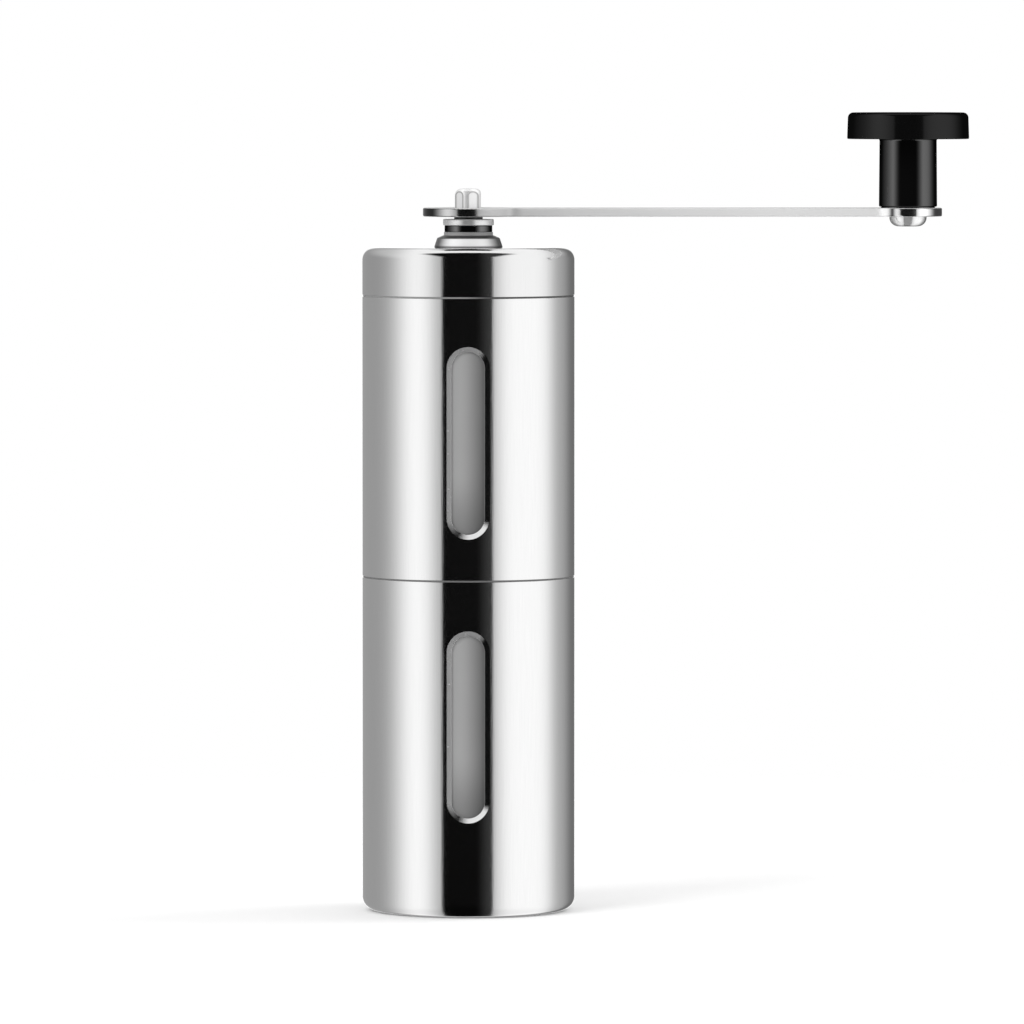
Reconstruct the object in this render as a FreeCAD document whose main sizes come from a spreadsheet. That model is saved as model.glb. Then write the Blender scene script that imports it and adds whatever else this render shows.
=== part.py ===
import FreeCAD, Part
import math
import os
import re

import Sketcher
from FreeCAD import Vector

# A hand crank coffee grinder, in millimetres: +Z up, the middle of its base at
# the origin, the window slots towards -Y and the crank arm towards +X.

SIZES = {
    # steel shells
    "body_diameter": 49.0,
    "shell_wall": 0.7,
    "can_height": 76.9,
    "sleeve_height": 64.4,
    "lid_height": 11.05,
    "seam_gap": 0.35,
    "flange_setback": 0.2,
    "corner_radius": 3.0,
    "window_width": 9.8,
    "window_length": 44.0,
    "can_window_level": 43.7,
    "sleeve_window_level": 31.4,
    "bevel_width": 1.1,
    "bevel_depth": 0.45,
    # plastic liners
    "liner_wall": 1.2,
    "liner_clearance": 0.15,
    "cup_drop": 0.4,
    # burr carrier and shaft bridge
    "slide_clearance": 0.1,
    "spigot_length": 10.5,
    "spigot_lead": 0.4,
    "spigot_lead_height": 1.0,
    "holder_drop": 15.5,
    "holder_step": 1.05,
    "holder_wall": 3.2,
    "carrier_rise": 8.65,
    "seat_lip": 1.2,
    "carrier_rim": 5.15,
    "seat_shoulder": 1.5,
    "hub_rise": 3.5,
    "hub_height": 9.0,
    "hub_radius": 6.6,
    "arm_foot": 2.8,
    "arm_width": 4.5,
    "arm_root": 0.8,
    "arm_clearance": 0.3,
    "knee_drop": 2.0,
    "knee_reach": 2.0,
    "foot_inset": 1.5,
    "heel_inset": 0.6,
    "belly_inset": 5.0,
    "screw_inset": 2.25,
    "screw_diameter": 1.6,
    "screw_head_diameter": 3.2,
    "screw_head_height": 1.1,
    "screw_length": 6.8,
    "pilot_room": 0.3,
    # burrs
    "outer_burr_height": 17.0,
    "retainer_height": 2.5,
    "retainer_wall": 1.3,
    "retainer_notch": 1.2,
    "burr_outlet": 1.2,
    "burr_drop": 1.0,
    "burr_gap": 0.3,
    "outer_burr_wall": 3.4,
    "outer_top_wall": 2.4,
    "inner_waist_step": 2.2,
    "inner_top_wall": 1.0,
    "inner_waist_height": 9.0,
    "inner_burr_height": 19.5,
    "tooth_depth": 0.9,
    "middle_tooth_depth": 0.45,
    "top_tooth_depth": 0.225,
    "outer_top_tooth_depth": 0.72,
    "flute_depth": 2.2,
    "waist_flute_depth": 1.54,
    "flute_count": 6,
    "teeth_per_flute": 4,
    "outer_tooth_count": 30,
    "inner_twist": 42.0,
    "outer_twist": 9.0,
    # shaft, spring and adjuster
    "shaft_diameter": 6.6,
    "flats_width": 5.0,
    "thread_diameter": 4.9,
    "thread_runout": 0.3,
    "flats_stop": 1.0,
    "tip_bevel": 0.4,
    "shaft_tail": 1.5,
    "head_height": 6.45,
    "head_diameter": 6.25,
    "head_flat": 2.75,
    "head_turn": 13.0,
    "head_bevel": 0.9,
    "running_clearance": 0.05,
    "fit_clearance": 0.08,
    "axial_play": 0.05,
    "bush_wall": 1.25,
    "bush_flange": 0.8,
    "bush_flange_inset": 0.4,
    "washer_thickness": 0.5,
    "washer_radius": 5.6,
    "clip_thickness": 0.7,
    "clip_radius": 4.8,
    "clip_groove_depth": 0.6,
    "clip_mouth": 3.78,
    "spring_recess_radius": 5.0,
    "spring_recess_depth": 5.5,
    "spring_radius": 4.2,
    "spring_wire": 0.8,
    "spring_turns": 5,
    "plate_thickness": 0.8,
    "plate_radius": 9.0,
    "click_count": 12,
    "click_inset": 1.6,
    "click_ball": 0.7,
    "dial_height": 7.0,
    "dial_radius": 9.6,
    "dial_lobes": 8,
    "dial_low_bevel": 0.8,
    "dial_top_bevel": 0.5,
    "dial_bore_room": 0.3,
    "scallop_radius": 2.2,
    "scallop_offset": 1.1,
    "nut_height": 4.0,
    "nut_corner_radius": 4.6,
    # lid fittings
    "lid_plug_depth": 6.5,
    "lid_disc": 1.5,
    "collar_radius": 7.9,
    "collar_height": 2.7,
    "collar_rim": 2.05,
    "collar_lean": 0.7,
    "collar_round": 0.5,
    "neck_radius": 5.65,
    "neck_height": 0.75,
    "bearing_height": 1.45,
    "bearing_radius": 5.5,
    "bearing_wall": 1.1,
    "thrust_radius": 5.85,
    "thrust_height": 1.45,
    "bush_tail_radius": 5.1,
    "bush_tail": 5.2,
    "lid_nut_height": 2.6,
    "lid_nut_corner_radius": 8.0,
    # crank and knob
    "arm_gap": 0.6,
    "arm_thickness": 2.0,
    "crank_length": 101.3,
    "shaft_eye_radius": 10.5,
    "knob_eye_radius": 7.85,
    "arm_bar_width": 9.5,
    "arm_junction": 3.0,
    "arm_edge_round": 0.35,
    "pin_head_radius": 4.3,
    "pin_head_height": 2.3,
    "pin_rim": 0.23,
    "pin_radius": 3.0,
    "knob_gap": 0.25,
    "stem_height": 15.6,
    "stem_radius": 6.7,
    "stem_taper": 0.12,
    "disc_radius": 14.05,
    "disc_taper": 0.2,
    "disc_height": 6.1,
    "disc_round": 1.2,
    "disc_low_round": 0.25,
    "cap_radius": 9.0,
    "cap_height": 3.05,
    "knob_recess_radius": 5.8,
    "screw_well": 4.3,
    "thrust_washer_inset": 0.5,
    "lock_washer_room": 0.4,
    "knob_screw_diameter": 2.9,
    "knob_screw_head": 5.4,
    "knob_screw_head_height": 1.6,
    "knob_screw_length": 6.8,
    "screw_end_room": 0.5,
}

# Sizes and levels that follow from the ones above.
DERIVED = {
    "body_radius": "body_diameter / 2",
    "shell_bore": "body_radius - shell_wall",
    "liner_radius": "shell_bore - liner_clearance",
    "liner_bore": "liner_radius - liner_wall",
    "flange_radius": "body_radius - flange_setback",
    "inner_corner": "corner_radius - shell_wall",
    "spigot_radius": "liner_bore - slide_clearance",
    "shaft_radius": "shaft_diameter / 2",
    "head_radius": "head_diameter / 2",
    "thread_radius": "thread_diameter / 2",
    "shaft_bore": "shaft_radius + running_clearance",
    "holder_radius": "spigot_radius - holder_step",
    "seat_radius": "holder_radius - holder_wall",
    "burr_radius": "seat_radius - slide_clearance",
    "funnel_radius": "liner_radius - carrier_rim",
    "throat_radius": "seat_radius - seat_shoulder",
    "bridge_screw_radius": "liner_bore - screw_inset",
    "retainer_bore": "holder_radius - retainer_wall",
    "retainer_radius": "retainer_bore - slide_clearance",
    "outlet_radius": "inner_base_radius + burr_outlet",
    "inner_base_radius": "burr_radius - outer_burr_wall",
    "inner_waist_radius": "inner_base_radius - inner_waist_step",
    "inner_top_radius": "spring_recess_radius + flute_depth + inner_top_wall",
    "outer_top_radius": "burr_radius - outer_top_wall",
    "sleeve_level": "can_height + seam_gap",
    "lid_level": "sleeve_level + sleeve_height + seam_gap",
    "lid_top": "lid_level + lid_height",
    "holder_level": "can_height - holder_drop",
    "carrier_top": "sleeve_level + carrier_rise",
    "carrier_height": "carrier_top - holder_level",
    "spigot_step": "holder_drop - spigot_length",
    "flange_step": "holder_drop + seam_gap",
    "seat_top": "retainer_height + outer_burr_height",
    "outer_burr_level": "holder_level + retainer_height",
    "inner_burr_level": "outer_burr_level - burr_drop",
    "hub_level": "carrier_top + hub_rise",
    "hub_top": "hub_level + hub_height",
    "bush_radius": "shaft_bore + bush_wall",
    "bush_seat": "bush_radius + running_clearance",
    "bush_flange_radius": "hub_radius - bush_flange_inset",
    "hub_end": "hub_rise + hub_height",
    "clip_washer_level": "hub_top + bush_flange",
    "clip_level": "clip_washer_level + washer_thickness + axial_play",
    "spring_washer_level": "hub_level - washer_thickness",
    "spring_level": "inner_burr_level + inner_burr_height - spring_recess_depth",
    "plate_level": "inner_burr_level - plate_thickness",
    "dial_level": "plate_level - axial_play - dial_height",
    "shaft_level": "dial_level - shaft_tail",
    "dial_bore": "thread_radius + dial_bore_room",
    "thread_length": "inner_burr_level - shaft_level - thread_runout",
    "flats_top": "spring_washer_level - flats_stop - shaft_level",
    "clip_groove_low": "clip_level - axial_play / 2 - shaft_level",
    "clip_groove_high": "clip_level + clip_thickness + axial_play / 2 - shaft_level",
    "groove_radius": "shaft_radius - clip_groove_depth",
    "lid_plug_radius": "liner_bore - slide_clearance",
    "lid_plug_bore": "lid_plug_radius - liner_wall",
    "lid_liner_height": "lid_plug_depth + lid_height - shell_wall",
    "lid_hole_radius": "bush_tail_radius + liner_clearance",
    "bush_bore": "shaft_radius + slide_clearance",
    "bearing_level": "lid_top + collar_height + neck_height",
    "core_radius": "bearing_radius - bearing_wall",
    "neck_top": "bush_tail + collar_height + neck_height",
    "core_top": "neck_top + bearing_height - axial_play",
    "thrust_level": "bearing_level + bearing_height + axial_play",
    "arm_level": "thrust_level + thrust_height + arm_gap",
    "arm_top": "arm_level + arm_thickness",
    "shaft_length": "arm_level + head_height - shaft_level",
    "head_low": "arm_level - shaft_level",
    "head_corner": "(head_flat + fit_clearance) / cos(36 deg)",
    "arm_half_bar": "arm_bar_width / 2",
    "knob_level": "arm_top + knob_gap",
    "knob_bore": "pin_radius + slide_clearance",
    "knob_height": "stem_height + disc_height",
    "cap_recess": "knob_height - cap_height - axial_play",
    "screw_recess": "cap_recess - screw_well",
    "pin_length": "pin_head_height + arm_thickness + knob_gap + screw_recess + slide_clearance",
    "pin_bore": "knob_screw_diameter / 2 + running_clearance",
    "pin_bore_floor": "pin_length - knob_screw_length - screw_end_room",
    "screw_seat": "knob_screw_length + washer_thickness",
    "screw_top": "screw_seat + knob_screw_head_height",
    "knob_washer_level": "knob_level + screw_recess + slide_clearance",
}

NAMED = re.compile(r"[a-z_][a-z_0-9]*")
# How close two places must be to count as the same, and how far a cut runs past a face.
NEAR = 1e-4
PAST = 1.0
# Where the land of a burr tooth ends and where its root lies, as shares of the pitch.
LAND_END = 0.3
ROOT_AT = 0.75
# Points at which the gap between the turns of the spring is measured.
GAP_POINTS = 400

doc = FreeCAD.newDocument("coffee_grinder")
sheet = doc.addObject("Spreadsheet::Sheet", "sizes")
for row, (alias, size) in enumerate(SIZES.items(), start=1):
    sheet.set(f"A{row}", alias)
    sheet.set(f"B{row}", str(size))
    sheet.setAlias(f"B{row}", alias)
doc.recompute()

NODES = {}


def bind(text):
    """Give the sheet expression for a size written with named values."""
    def cell(match):
        name = match.group()
        if name in DERIVED:
            return "(" + bind(DERIVED[name]) + ")"
        return "sizes." + name if name in SIZES else name
    return NAMED.sub(cell, str(text))


def value(text):
    """Work out such a size as a number."""
    return float(sheet.evalExpression(bind(text)))


def keep(label, item):
    """Name a finished piece."""
    item.Label = label
    NODES[label] = item
    return item


def place(item, x="0", z="0"):
    """Tie the place of a piece to the sheet."""
    for axis, text in (("x", x), ("z", z)):
        if text != "0":
            item.setExpression(f"Placement.Base.{axis}", bind(text))
    return item


def new_body(label, x="0", z="0"):
    """Start a named body with its place tied to the sheet."""
    body = doc.addObject("PartDesign::Body", label)
    return keep(label, place(body, x, z))


def origin(body, role):
    """Find one of a body's own planes or axes."""
    return next(item for item in body.Origin.OriginFeatures if item.Role == role)


def new_sketch(body, name, role, lift="0"):
    """Start a sketch on one of a body's own planes, lifted by a named size."""
    sketch = body.newObject("Sketcher::SketchObject", name)
    sketch.AttachmentSupport = (origin(body, role), [""])
    sketch.MapMode = "FlatFace"
    if lift != "0":
        sketch.setExpression("AttachmentOffset.Base.z", bind(lift))
    return sketch


def dimension(sketch, kind, geometry, point, text):
    """Hold one coordinate of a sketch point at a named size."""
    size = value(text)
    if abs(size) < NEAR:
        axis = -2 if kind == "DistanceX" else -1
        sketch.addConstraint(Sketcher.Constraint("PointOnObject", geometry, point, axis))
        return
    ends = (-1, 1, geometry, point) if size > 0 else (geometry, point, -1, 1)
    index = sketch.addConstraint(Sketcher.Constraint(kind, *ends, abs(size)))
    sketch.setExpression(f"Constraints[{index}]", bind(text if size > 0 else f"-({text})"))


def polygon(body, name, points, role="XZ_Plane", lift="0"):
    """A closed outline whose corners stand at named sizes."""
    sketch = new_sketch(body, name, role, lift)
    corners = [Vector(value(x), value(y), 0) for x, y in points]
    count = len(points)
    for index in range(count):
        sketch.addGeometry(Part.LineSegment(corners[index], corners[(index + 1) % count]))
    for index in range(count):
        sketch.addConstraint(Sketcher.Constraint("Coincident", index, 2, (index + 1) % count, 1))
    for index, (x, y) in enumerate(points):
        dimension(sketch, "DistanceX", index, 1, x)
        dimension(sketch, "DistanceY", index, 1, y)
    return sketch


def circle(body, name, radius, x="0", y="0", role="XY_Plane", lift="0"):
    """A circle with a named radius and middle."""
    sketch = new_sketch(body, name, role, lift)
    middle = Vector(value(x), value(y), 0)
    sketch.addGeometry(Part.Circle(middle, Vector(0, 0, 1), value(radius)))
    dimension(sketch, "DistanceX", 0, 3, x)
    dimension(sketch, "DistanceY", 0, 3, y)
    index = sketch.addConstraint(Sketcher.Constraint("Radius", 0, value(radius)))
    sketch.setExpression(f"Constraints[{index}]", bind(radius))
    return sketch


def stadium(sketch, width, length, level):
    """An upright slot outline with full-round ends."""
    radius = value(width) / 2
    middle = value(level)
    reach = value(length) / 2 - radius
    top = Vector(0, middle + reach, 0)
    low = Vector(0, middle - reach, 0)
    across = Vector(radius, 0, 0)
    up = Vector(0, 0, 1)
    sketch.addGeometry(Part.ArcOfCircle(Part.Circle(top, up, radius), 0, math.pi))
    sketch.addGeometry(Part.LineSegment(top - across, low - across))
    sketch.addGeometry(Part.ArcOfCircle(Part.Circle(low, up, radius), math.pi, 2 * math.pi))
    sketch.addGeometry(Part.LineSegment(low + across, top + across))
    for first, second in ((0, 1), (1, 2), (2, 3), (3, 0)):
        sketch.addConstraint(Sketcher.Constraint("Tangent", first, 2, second, 1))
    end = f"({length}) / 2 - ({width}) / 2"
    for arc, sign in ((0, "+"), (2, "-")):
        dimension(sketch, "DistanceX", arc, 3, "0")
        dimension(sketch, "DistanceY", arc, 3, f"({level}) {sign} ({end})")
    index = sketch.addConstraint(Sketcher.Constraint("Radius", 0, radius))
    sketch.setExpression(f"Constraints[{index}]", bind(f"({width}) / 2"))
    return sketch


def feature(body, kind, name, sketch):
    """Add a sketch-based feature and make it the latest state of its body."""
    item = body.newObject(f"PartDesign::{kind}", name)
    item.Profile = sketch
    if kind in ("Revolution", "Groove"):
        item.ReferenceAxis = (sketch, ["V_Axis"])
        item.Angle = 360
    sketch.Visibility = False
    doc.recompute()
    return item


def turn(label, points, x="0", z="0"):
    """A turned piece: a closed profile of radius and height spun about Z."""
    body = new_body(label, x, z)
    feature(body, "Revolution", f"{label}_turned", polygon(body, f"{label}_profile", points))
    return body


def extrude(body, kind, name, sketch, length, both=False, flip=False):
    """Pad or pocket a sketch; a pocket must take material off."""
    before = body.Shape.Volume if body.Tip else 0.0
    item = feature(body, kind, name, sketch)
    item.setExpression("Length", bind(length))
    item.Reversed = flip
    if both:
        item.Midplane = True
    doc.recompute()
    if kind == "Pocket" and body.Shape.Volume > before - NEAR:
        raise ValueError(f"{name} cuts nothing")
    return item


def repeat(body, item, count):
    """Repeat a feature evenly around the Z axis."""
    pattern = body.newObject("PartDesign::PolarPattern", f"{item.Name}_ring")
    pattern.Originals = [item]
    pattern.Axis = (origin(body, "Z_Axis"), [""])
    pattern.Angle = 360
    pattern.setExpression("Occurrences", bind(count))
    body.Tip = pattern
    doc.recompute()
    return pattern


def blend(body, kind, name, edges, size):
    """Fillet or chamfer some edges of the latest state of a body."""
    if not edges:
        raise ValueError(f"{name} found no edge")
    item = body.newObject(f"PartDesign::{kind}", name)
    item.Base = (body.Tip if body.Tip is not item else item.BaseFeature, edges)
    item.setExpression("Radius" if kind == "Fillet" else "Size", bind(size))
    body.Tip = item
    doc.recompute()
    return item


def rims(body, *places):
    """Name the full circles about the axis at given radii and heights."""
    wanted = [(value(radius), value(height)) for radius, height in places]
    found = []
    for index, edge in enumerate(body.Tip.Shape.Edges, start=1):
        curve = edge.Curve
        if not isinstance(curve, Part.Circle) or not edge.isClosed():
            continue
        spot = (curve.Radius, curve.Center.z)
        if any(math.dist(spot, goal) < NEAR for goal in wanted):
            found.append(f"Edge{index}")
    return found


def edges_where(body, test):
    """Name the edges whose sampled points all pass a test."""
    return [f"Edge{index}" for index, edge in enumerate(body.Tip.Shape.Edges, start=1)
            if all(test(point) for point in edge.discretize(5))]


def ring(label, outer, inner, height, x="0", z="0"):
    """A plain ring or washer: one cylinder bored by another."""
    rim = doc.addObject("Part::Cylinder", f"{label}_rim")
    bore = doc.addObject("Part::Cylinder", f"{label}_bore")
    for item, radius in ((rim, outer), (bore, inner)):
        item.setExpression("Radius", bind(radius))
        item.setExpression("Height", bind(height))
    return cut(label, rim, bore, x, z)


def cut(label, base, tool, x="0", z="0"):
    """Keep what is left of one solid after another is taken away."""
    item = doc.addObject("Part::Cut", label)
    item.Base = base
    item.Tool = tool
    doc.recompute()
    return keep(label, place(item, x, z))


def hex_nut(label, corner, height, bore, x="0", z="0"):
    """A six-sided nut blank with its bore."""
    blank = doc.addObject("Part::Prism", f"{label}_blank")
    blank.Polygon = 6
    blank.setExpression("Circumradius", bind(corner))
    hole = doc.addObject("Part::Cylinder", f"{label}_bore")
    hole.setExpression("Radius", bind(bore))
    for item in (blank, hole):
        item.setExpression("Height", bind(height))
    return cut(label, blank, hole, x, z)


def cut_window(body, level):
    """Cut the front window slot in a steel shell and slope its edge inwards all round."""
    sketch = new_sketch(body, f"{body.Name}_window_outline", "XZ_Plane")
    stadium(sketch, "window_width - 2 * bevel_width", "window_length - 2 * bevel_width", level)
    extrude(body, "Pocket", f"{body.Name}_window", sketch, "body_diameter", flip=True)
    reach = value("body_radius")
    low = value(level) - value("window_length")
    high = value(level) + value("window_length")

    def on_slot(point):
        outside = abs(math.hypot(point.x, point.y) - reach) < NEAR
        return outside and point.y < 0 and abs(point.x) < value("window_width") and low < point.z < high

    slope = blend(body, "Chamfer", f"{body.Name}_window_bevel", edges_where(body, on_slot), "bevel_depth")
    slope.ChamferType = "Two distances"
    slope.setExpression("Size2", bind("bevel_width"))
    doc.recompute()
    if "Invalid" in slope.State:
        slope.FlipDirection = True
        doc.recompute()


# Lower half: a steel can with the cup that catches the grounds.

def make_lower_can():
    body = turn("lower_can", [
        ("0", "0"),
        ("body_radius", "0"),
        ("body_radius", "can_height"),
        ("shell_bore", "can_height"),
        ("shell_bore", "shell_wall"),
        ("0", "shell_wall"),
    ])
    blend(body, "Fillet", "can_corner", rims(body, ("body_radius", "0")), "corner_radius")
    blend(body, "Fillet", "can_inner_corner", rims(body, ("shell_bore", "shell_wall")), "inner_corner")
    cut_window(body, "can_window_level")


def make_grounds_cup():
    top = "can_height - cup_drop - shell_wall"
    turn("grounds_cup", [
        ("0", "0"),
        ("liner_radius - inner_corner", "0"),
        ("liner_radius", "inner_corner"),
        ("liner_radius", top),
        ("liner_bore", top),
        ("liner_bore", "inner_corner"),
        ("liner_bore - inner_corner", "liner_wall"),
        ("0", "liner_wall"),
    ], z="shell_wall")


# Upper half: sleeve, hopper liner, burr carrier and shaft bridge.

def make_upper_sleeve():
    body = turn("upper_sleeve", [
        ("shell_bore", "0"),
        ("body_radius", "0"),
        ("body_radius", "sleeve_height"),
        ("shell_bore", "sleeve_height"),
    ], z="sleeve_level")
    cut_window(body, "sleeve_window_level")


def make_hopper_liner():
    step = "sleeve_height - carrier_rise"
    top = "sleeve_height - carrier_rise + seam_gap"
    turn("hopper_liner", [
        ("liner_bore", "0"),
        ("liner_radius", "0"),
        ("liner_radius", step),
        ("flange_radius", step),
        ("flange_radius", top),
        ("liner_bore", top),
    ], z="carrier_top")


def make_burr_carrier():
    body = turn("burr_carrier", [
        ("retainer_bore", "0"),
        ("holder_radius", "0"),
        ("holder_radius", "spigot_step"),
        ("spigot_radius - spigot_lead", "spigot_step"),
        ("spigot_radius", "spigot_step + spigot_lead_height"),
        ("spigot_radius", "holder_drop"),
        ("flange_radius", "holder_drop"),
        ("flange_radius", "flange_step"),
        ("liner_radius", "flange_step"),
        ("liner_radius", "carrier_height"),
        ("funnel_radius", "carrier_height"),
        ("throat_radius", "seat_top + seat_lip"),
        ("throat_radius", "seat_top"),
        ("seat_radius", "seat_top"),
        ("seat_radius", "retainer_height"),
        ("retainer_bore", "retainer_height"),
    ], z="holder_level")
    sketch = circle(body, "carrier_pilot_outline", "screw_diameter / 2 + running_clearance",
                    x="bridge_screw_radius", lift="carrier_height")
    pilot = extrude(body, "Pocket", "carrier_pilot", sketch, "screw_length - arm_foot + pilot_room")
    repeat(body, pilot, "3")


def make_shaft_bridge():
    body = turn("shaft_bridge", [
        ("bush_seat", "hub_rise"),
        ("hub_radius", "hub_rise"),
        ("hub_radius", "hub_end"),
        ("bush_seat", "hub_end"),
    ], z="carrier_top")
    reach = "liner_bore - arm_clearance"
    knee = "hub_end - knee_drop"
    sketch = polygon(body, "bridge_arm_outline", [
        ("hub_radius - arm_root", "hub_rise"),
        ("hub_radius - arm_root", knee),
        ("hub_radius + knee_reach", knee),
        ("funnel_radius - foot_inset", "arm_foot"),
        (reach, "arm_foot"),
        (reach, "0"),
        ("funnel_radius - heel_inset", "0"),
        ("funnel_radius - belly_inset", "hub_rise"),
    ])
    arm = extrude(body, "Pad", "bridge_arm", sketch, "arm_width", both=True)
    repeat(body, arm, "3")
    hole = circle(body, "bridge_hole_outline", "screw_diameter / 2 + running_clearance",
                  x="bridge_screw_radius", lift="arm_foot")
    repeat(body, extrude(body, "Pocket", "bridge_hole", hole, "arm_foot"), "3")


def make_bridge_screws():
    for index in range(3):
        body = turn(f"bridge_screw_{index + 1}", [
            ("0", "0"),
            ("screw_diameter / 2", "0"),
            ("screw_diameter / 2", "screw_length"),
            ("screw_head_diameter / 2", "screw_length"),
            ("screw_head_diameter / 2", "screw_length + screw_head_height"),
            ("0", "screw_length + screw_head_height"),
        ], z="carrier_top + arm_foot - screw_length")
        body.setExpression("Placement.Base.x", bind(f"bridge_screw_radius * cos({120 * index} deg)"))
        body.setExpression("Placement.Base.y", bind(f"bridge_screw_radius * sin({120 * index} deg)"))


def make_bridge_bush():
    turn("bridge_bush", [
        ("shaft_bore", "0"),
        ("bush_radius", "0"),
        ("bush_radius", "hub_height"),
        ("bush_flange_radius", "hub_height"),
        ("bush_flange_radius", "hub_height + bush_flange"),
        ("shaft_bore", "hub_height + bush_flange"),
    ], z="hub_level")


# Burrs: toothed cones lofted through twisted saw-tooth outlines.

def saw_outline(height, crest, roots, twist):
    """One saw-tooth outline: a short land at the crest, then a slope to each root."""
    pitch = 2 * math.pi / len(roots)
    spots = []
    for index, root in enumerate(roots):
        start = index * pitch + math.radians(twist)
        spots.append((crest, start))
        spots.append((crest, start + LAND_END * pitch))
        spots.append((root, start + ROOT_AT * pitch))
    points = [Vector(radius * math.cos(angle), radius * math.sin(angle), height) for radius, angle in spots]
    return Part.makePolygon(points + points[:1])


def shaped(label, shape, level):
    """Keep a piece whose surface is worked out point by point, at a named level."""
    item = doc.addObject("Part::Feature", label)
    item.Shape = shape
    return keep(label, place(item, z=level))


def double_flat_hole(height):
    """The drive hole that slides on the two flats of the shaft."""
    radius = value("shaft_radius + fit_clearance")
    flat = value("flats_width / 2 + fit_clearance")
    round_hole = Part.makeCylinder(radius, height)
    slab = Part.makeBox(4 * radius, 2 * flat, height, Vector(-2 * radius, -flat, 0))
    return round_hole.common(slab)


def make_inner_burr():
    height = value("inner_burr_height")
    waist = value("inner_waist_height")
    middle = (waist + height) / 2
    base = value("inner_base_radius")
    neck = value("inner_waist_radius")
    top = value("inner_top_radius")
    tooth = value("tooth_depth")
    flute = value("flute_depth")
    # height, crest radius, depth of the fine teeth, depth of the feed flutes
    stations = [
        (0.0, base, tooth, tooth),
        (waist, neck, tooth, value("waist_flute_depth")),
        (middle, (neck + top) / 2, value("middle_tooth_depth"), flute),
        (height, top, value("top_tooth_depth"), flute),
    ]
    flutes = round(value("flute_count"))
    group = round(value("teeth_per_flute"))
    outlines = []
    for level, crest, fine, coarse in stations:
        roots = [crest - (coarse if index % group == 0 else fine) for index in range(flutes * group)]
        outlines.append(saw_outline(level, crest, roots, value("inner_twist") * level / height))
    cone = Part.makeLoft(outlines, True, True)
    recess_floor = height - value("spring_recess_depth")
    recess = Part.makeCylinder(value("spring_recess_radius"), height, Vector(0, 0, recess_floor))
    shaped("inner_burr", cone.cut(recess).cut(double_flat_hole(height)), "inner_burr_level")


def make_outer_burr():
    height = value("outer_burr_height")
    slope = value("(inner_base_radius - inner_waist_radius) / inner_waist_height")
    low = value("inner_base_radius + burr_gap") - slope * value("burr_drop")
    waist = value("inner_waist_height - burr_drop")
    neck = value("inner_waist_radius + burr_gap")
    top = value("outer_top_radius")
    tooth = value("tooth_depth")
    count = round(value("outer_tooth_count"))
    outlines = []
    stations = [
        (0.0, low, tooth),
        (waist, neck, tooth),
        (height, top, value("outer_top_tooth_depth")),
    ]
    for level, crest, depth in stations:
        roots = [crest + depth] * count
        outlines.append(saw_outline(level, crest, roots, -value("outer_twist") * level / height))
    hollow = Part.makeLoft(outlines, True, True)
    block = Part.makeCylinder(value("burr_radius"), height)
    shaped("outer_burr", block.cut(hollow), "outer_burr_level")


def make_burr_retainer():
    body = turn("burr_retainer", [
        ("outlet_radius", "0"),
        ("retainer_radius", "0"),
        ("retainer_radius", "retainer_height"),
        ("outlet_radius", "retainer_height"),
    ], z="holder_level")
    notch = circle(body, "retainer_notch_outline", "retainer_notch", x="retainer_radius")
    repeat(body, extrude(body, "Pocket", "retainer_notch", notch, "retainer_height / 2", flip=True), "6")


# Shaft, its retaining pieces, the spring and the grind adjuster.

def make_drive_shaft():
    body = turn("drive_shaft", [
        ("0", "0"),
        ("thread_radius - tip_bevel", "0"),
        ("thread_radius", "tip_bevel"),
        ("thread_radius", "thread_length"),
        ("shaft_radius", "thread_length"),
        ("shaft_radius", "clip_groove_low"),
        ("groove_radius", "clip_groove_low"),
        ("groove_radius", "clip_groove_high"),
        ("shaft_radius", "clip_groove_high"),
        ("shaft_radius", "head_low"),
        ("head_radius", "head_low"),
        ("head_radius", "shaft_length"),
        ("0", "shaft_length"),
    ], z="shaft_level")
    flat = polygon(body, "shaft_flat_outline", [
        ("flats_width / 2", "thread_length"),
        ("shaft_diameter", "thread_length"),
        ("shaft_diameter", "flats_top"),
        ("flats_width / 2", "flats_top"),
    ], role="YZ_Plane")
    repeat(body, extrude(body, "Pocket", "shaft_flat", flat, "2 * shaft_diameter", both=True), "2")
    facet = polygon(body, "head_facet_outline", [
        ("head_flat", "head_low"),
        ("shaft_diameter", "head_low"),
        ("shaft_diameter", f"shaft_length + {PAST}"),
        ("head_flat", f"shaft_length + {PAST}"),
    ], role="YZ_Plane")
    swing = FreeCAD.Rotation(Vector(0, 1, 0), -value("head_turn"))
    facet.AttachmentOffset = FreeCAD.Placement(Vector(), swing)
    facet.setExpression("AttachmentOffset.Rotation.Angle", bind("-head_turn"))
    repeat(body, extrude(body, "Pocket", "head_facet", facet, "2 * shaft_diameter", both=True), "5")
    bevel = polygon(body, "head_bevel_outline", [
        ("head_radius - head_bevel", f"shaft_length + {PAST}"),
        ("head_radius - head_bevel", "shaft_length"),
        (f"head_radius + {PAST}", f"shaft_length - head_bevel - {PAST}"),
        (f"head_radius + {PAST}", f"shaft_length + {PAST}"),
    ])
    feature(body, "Groove", "head_bevel_cut", bevel)


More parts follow.
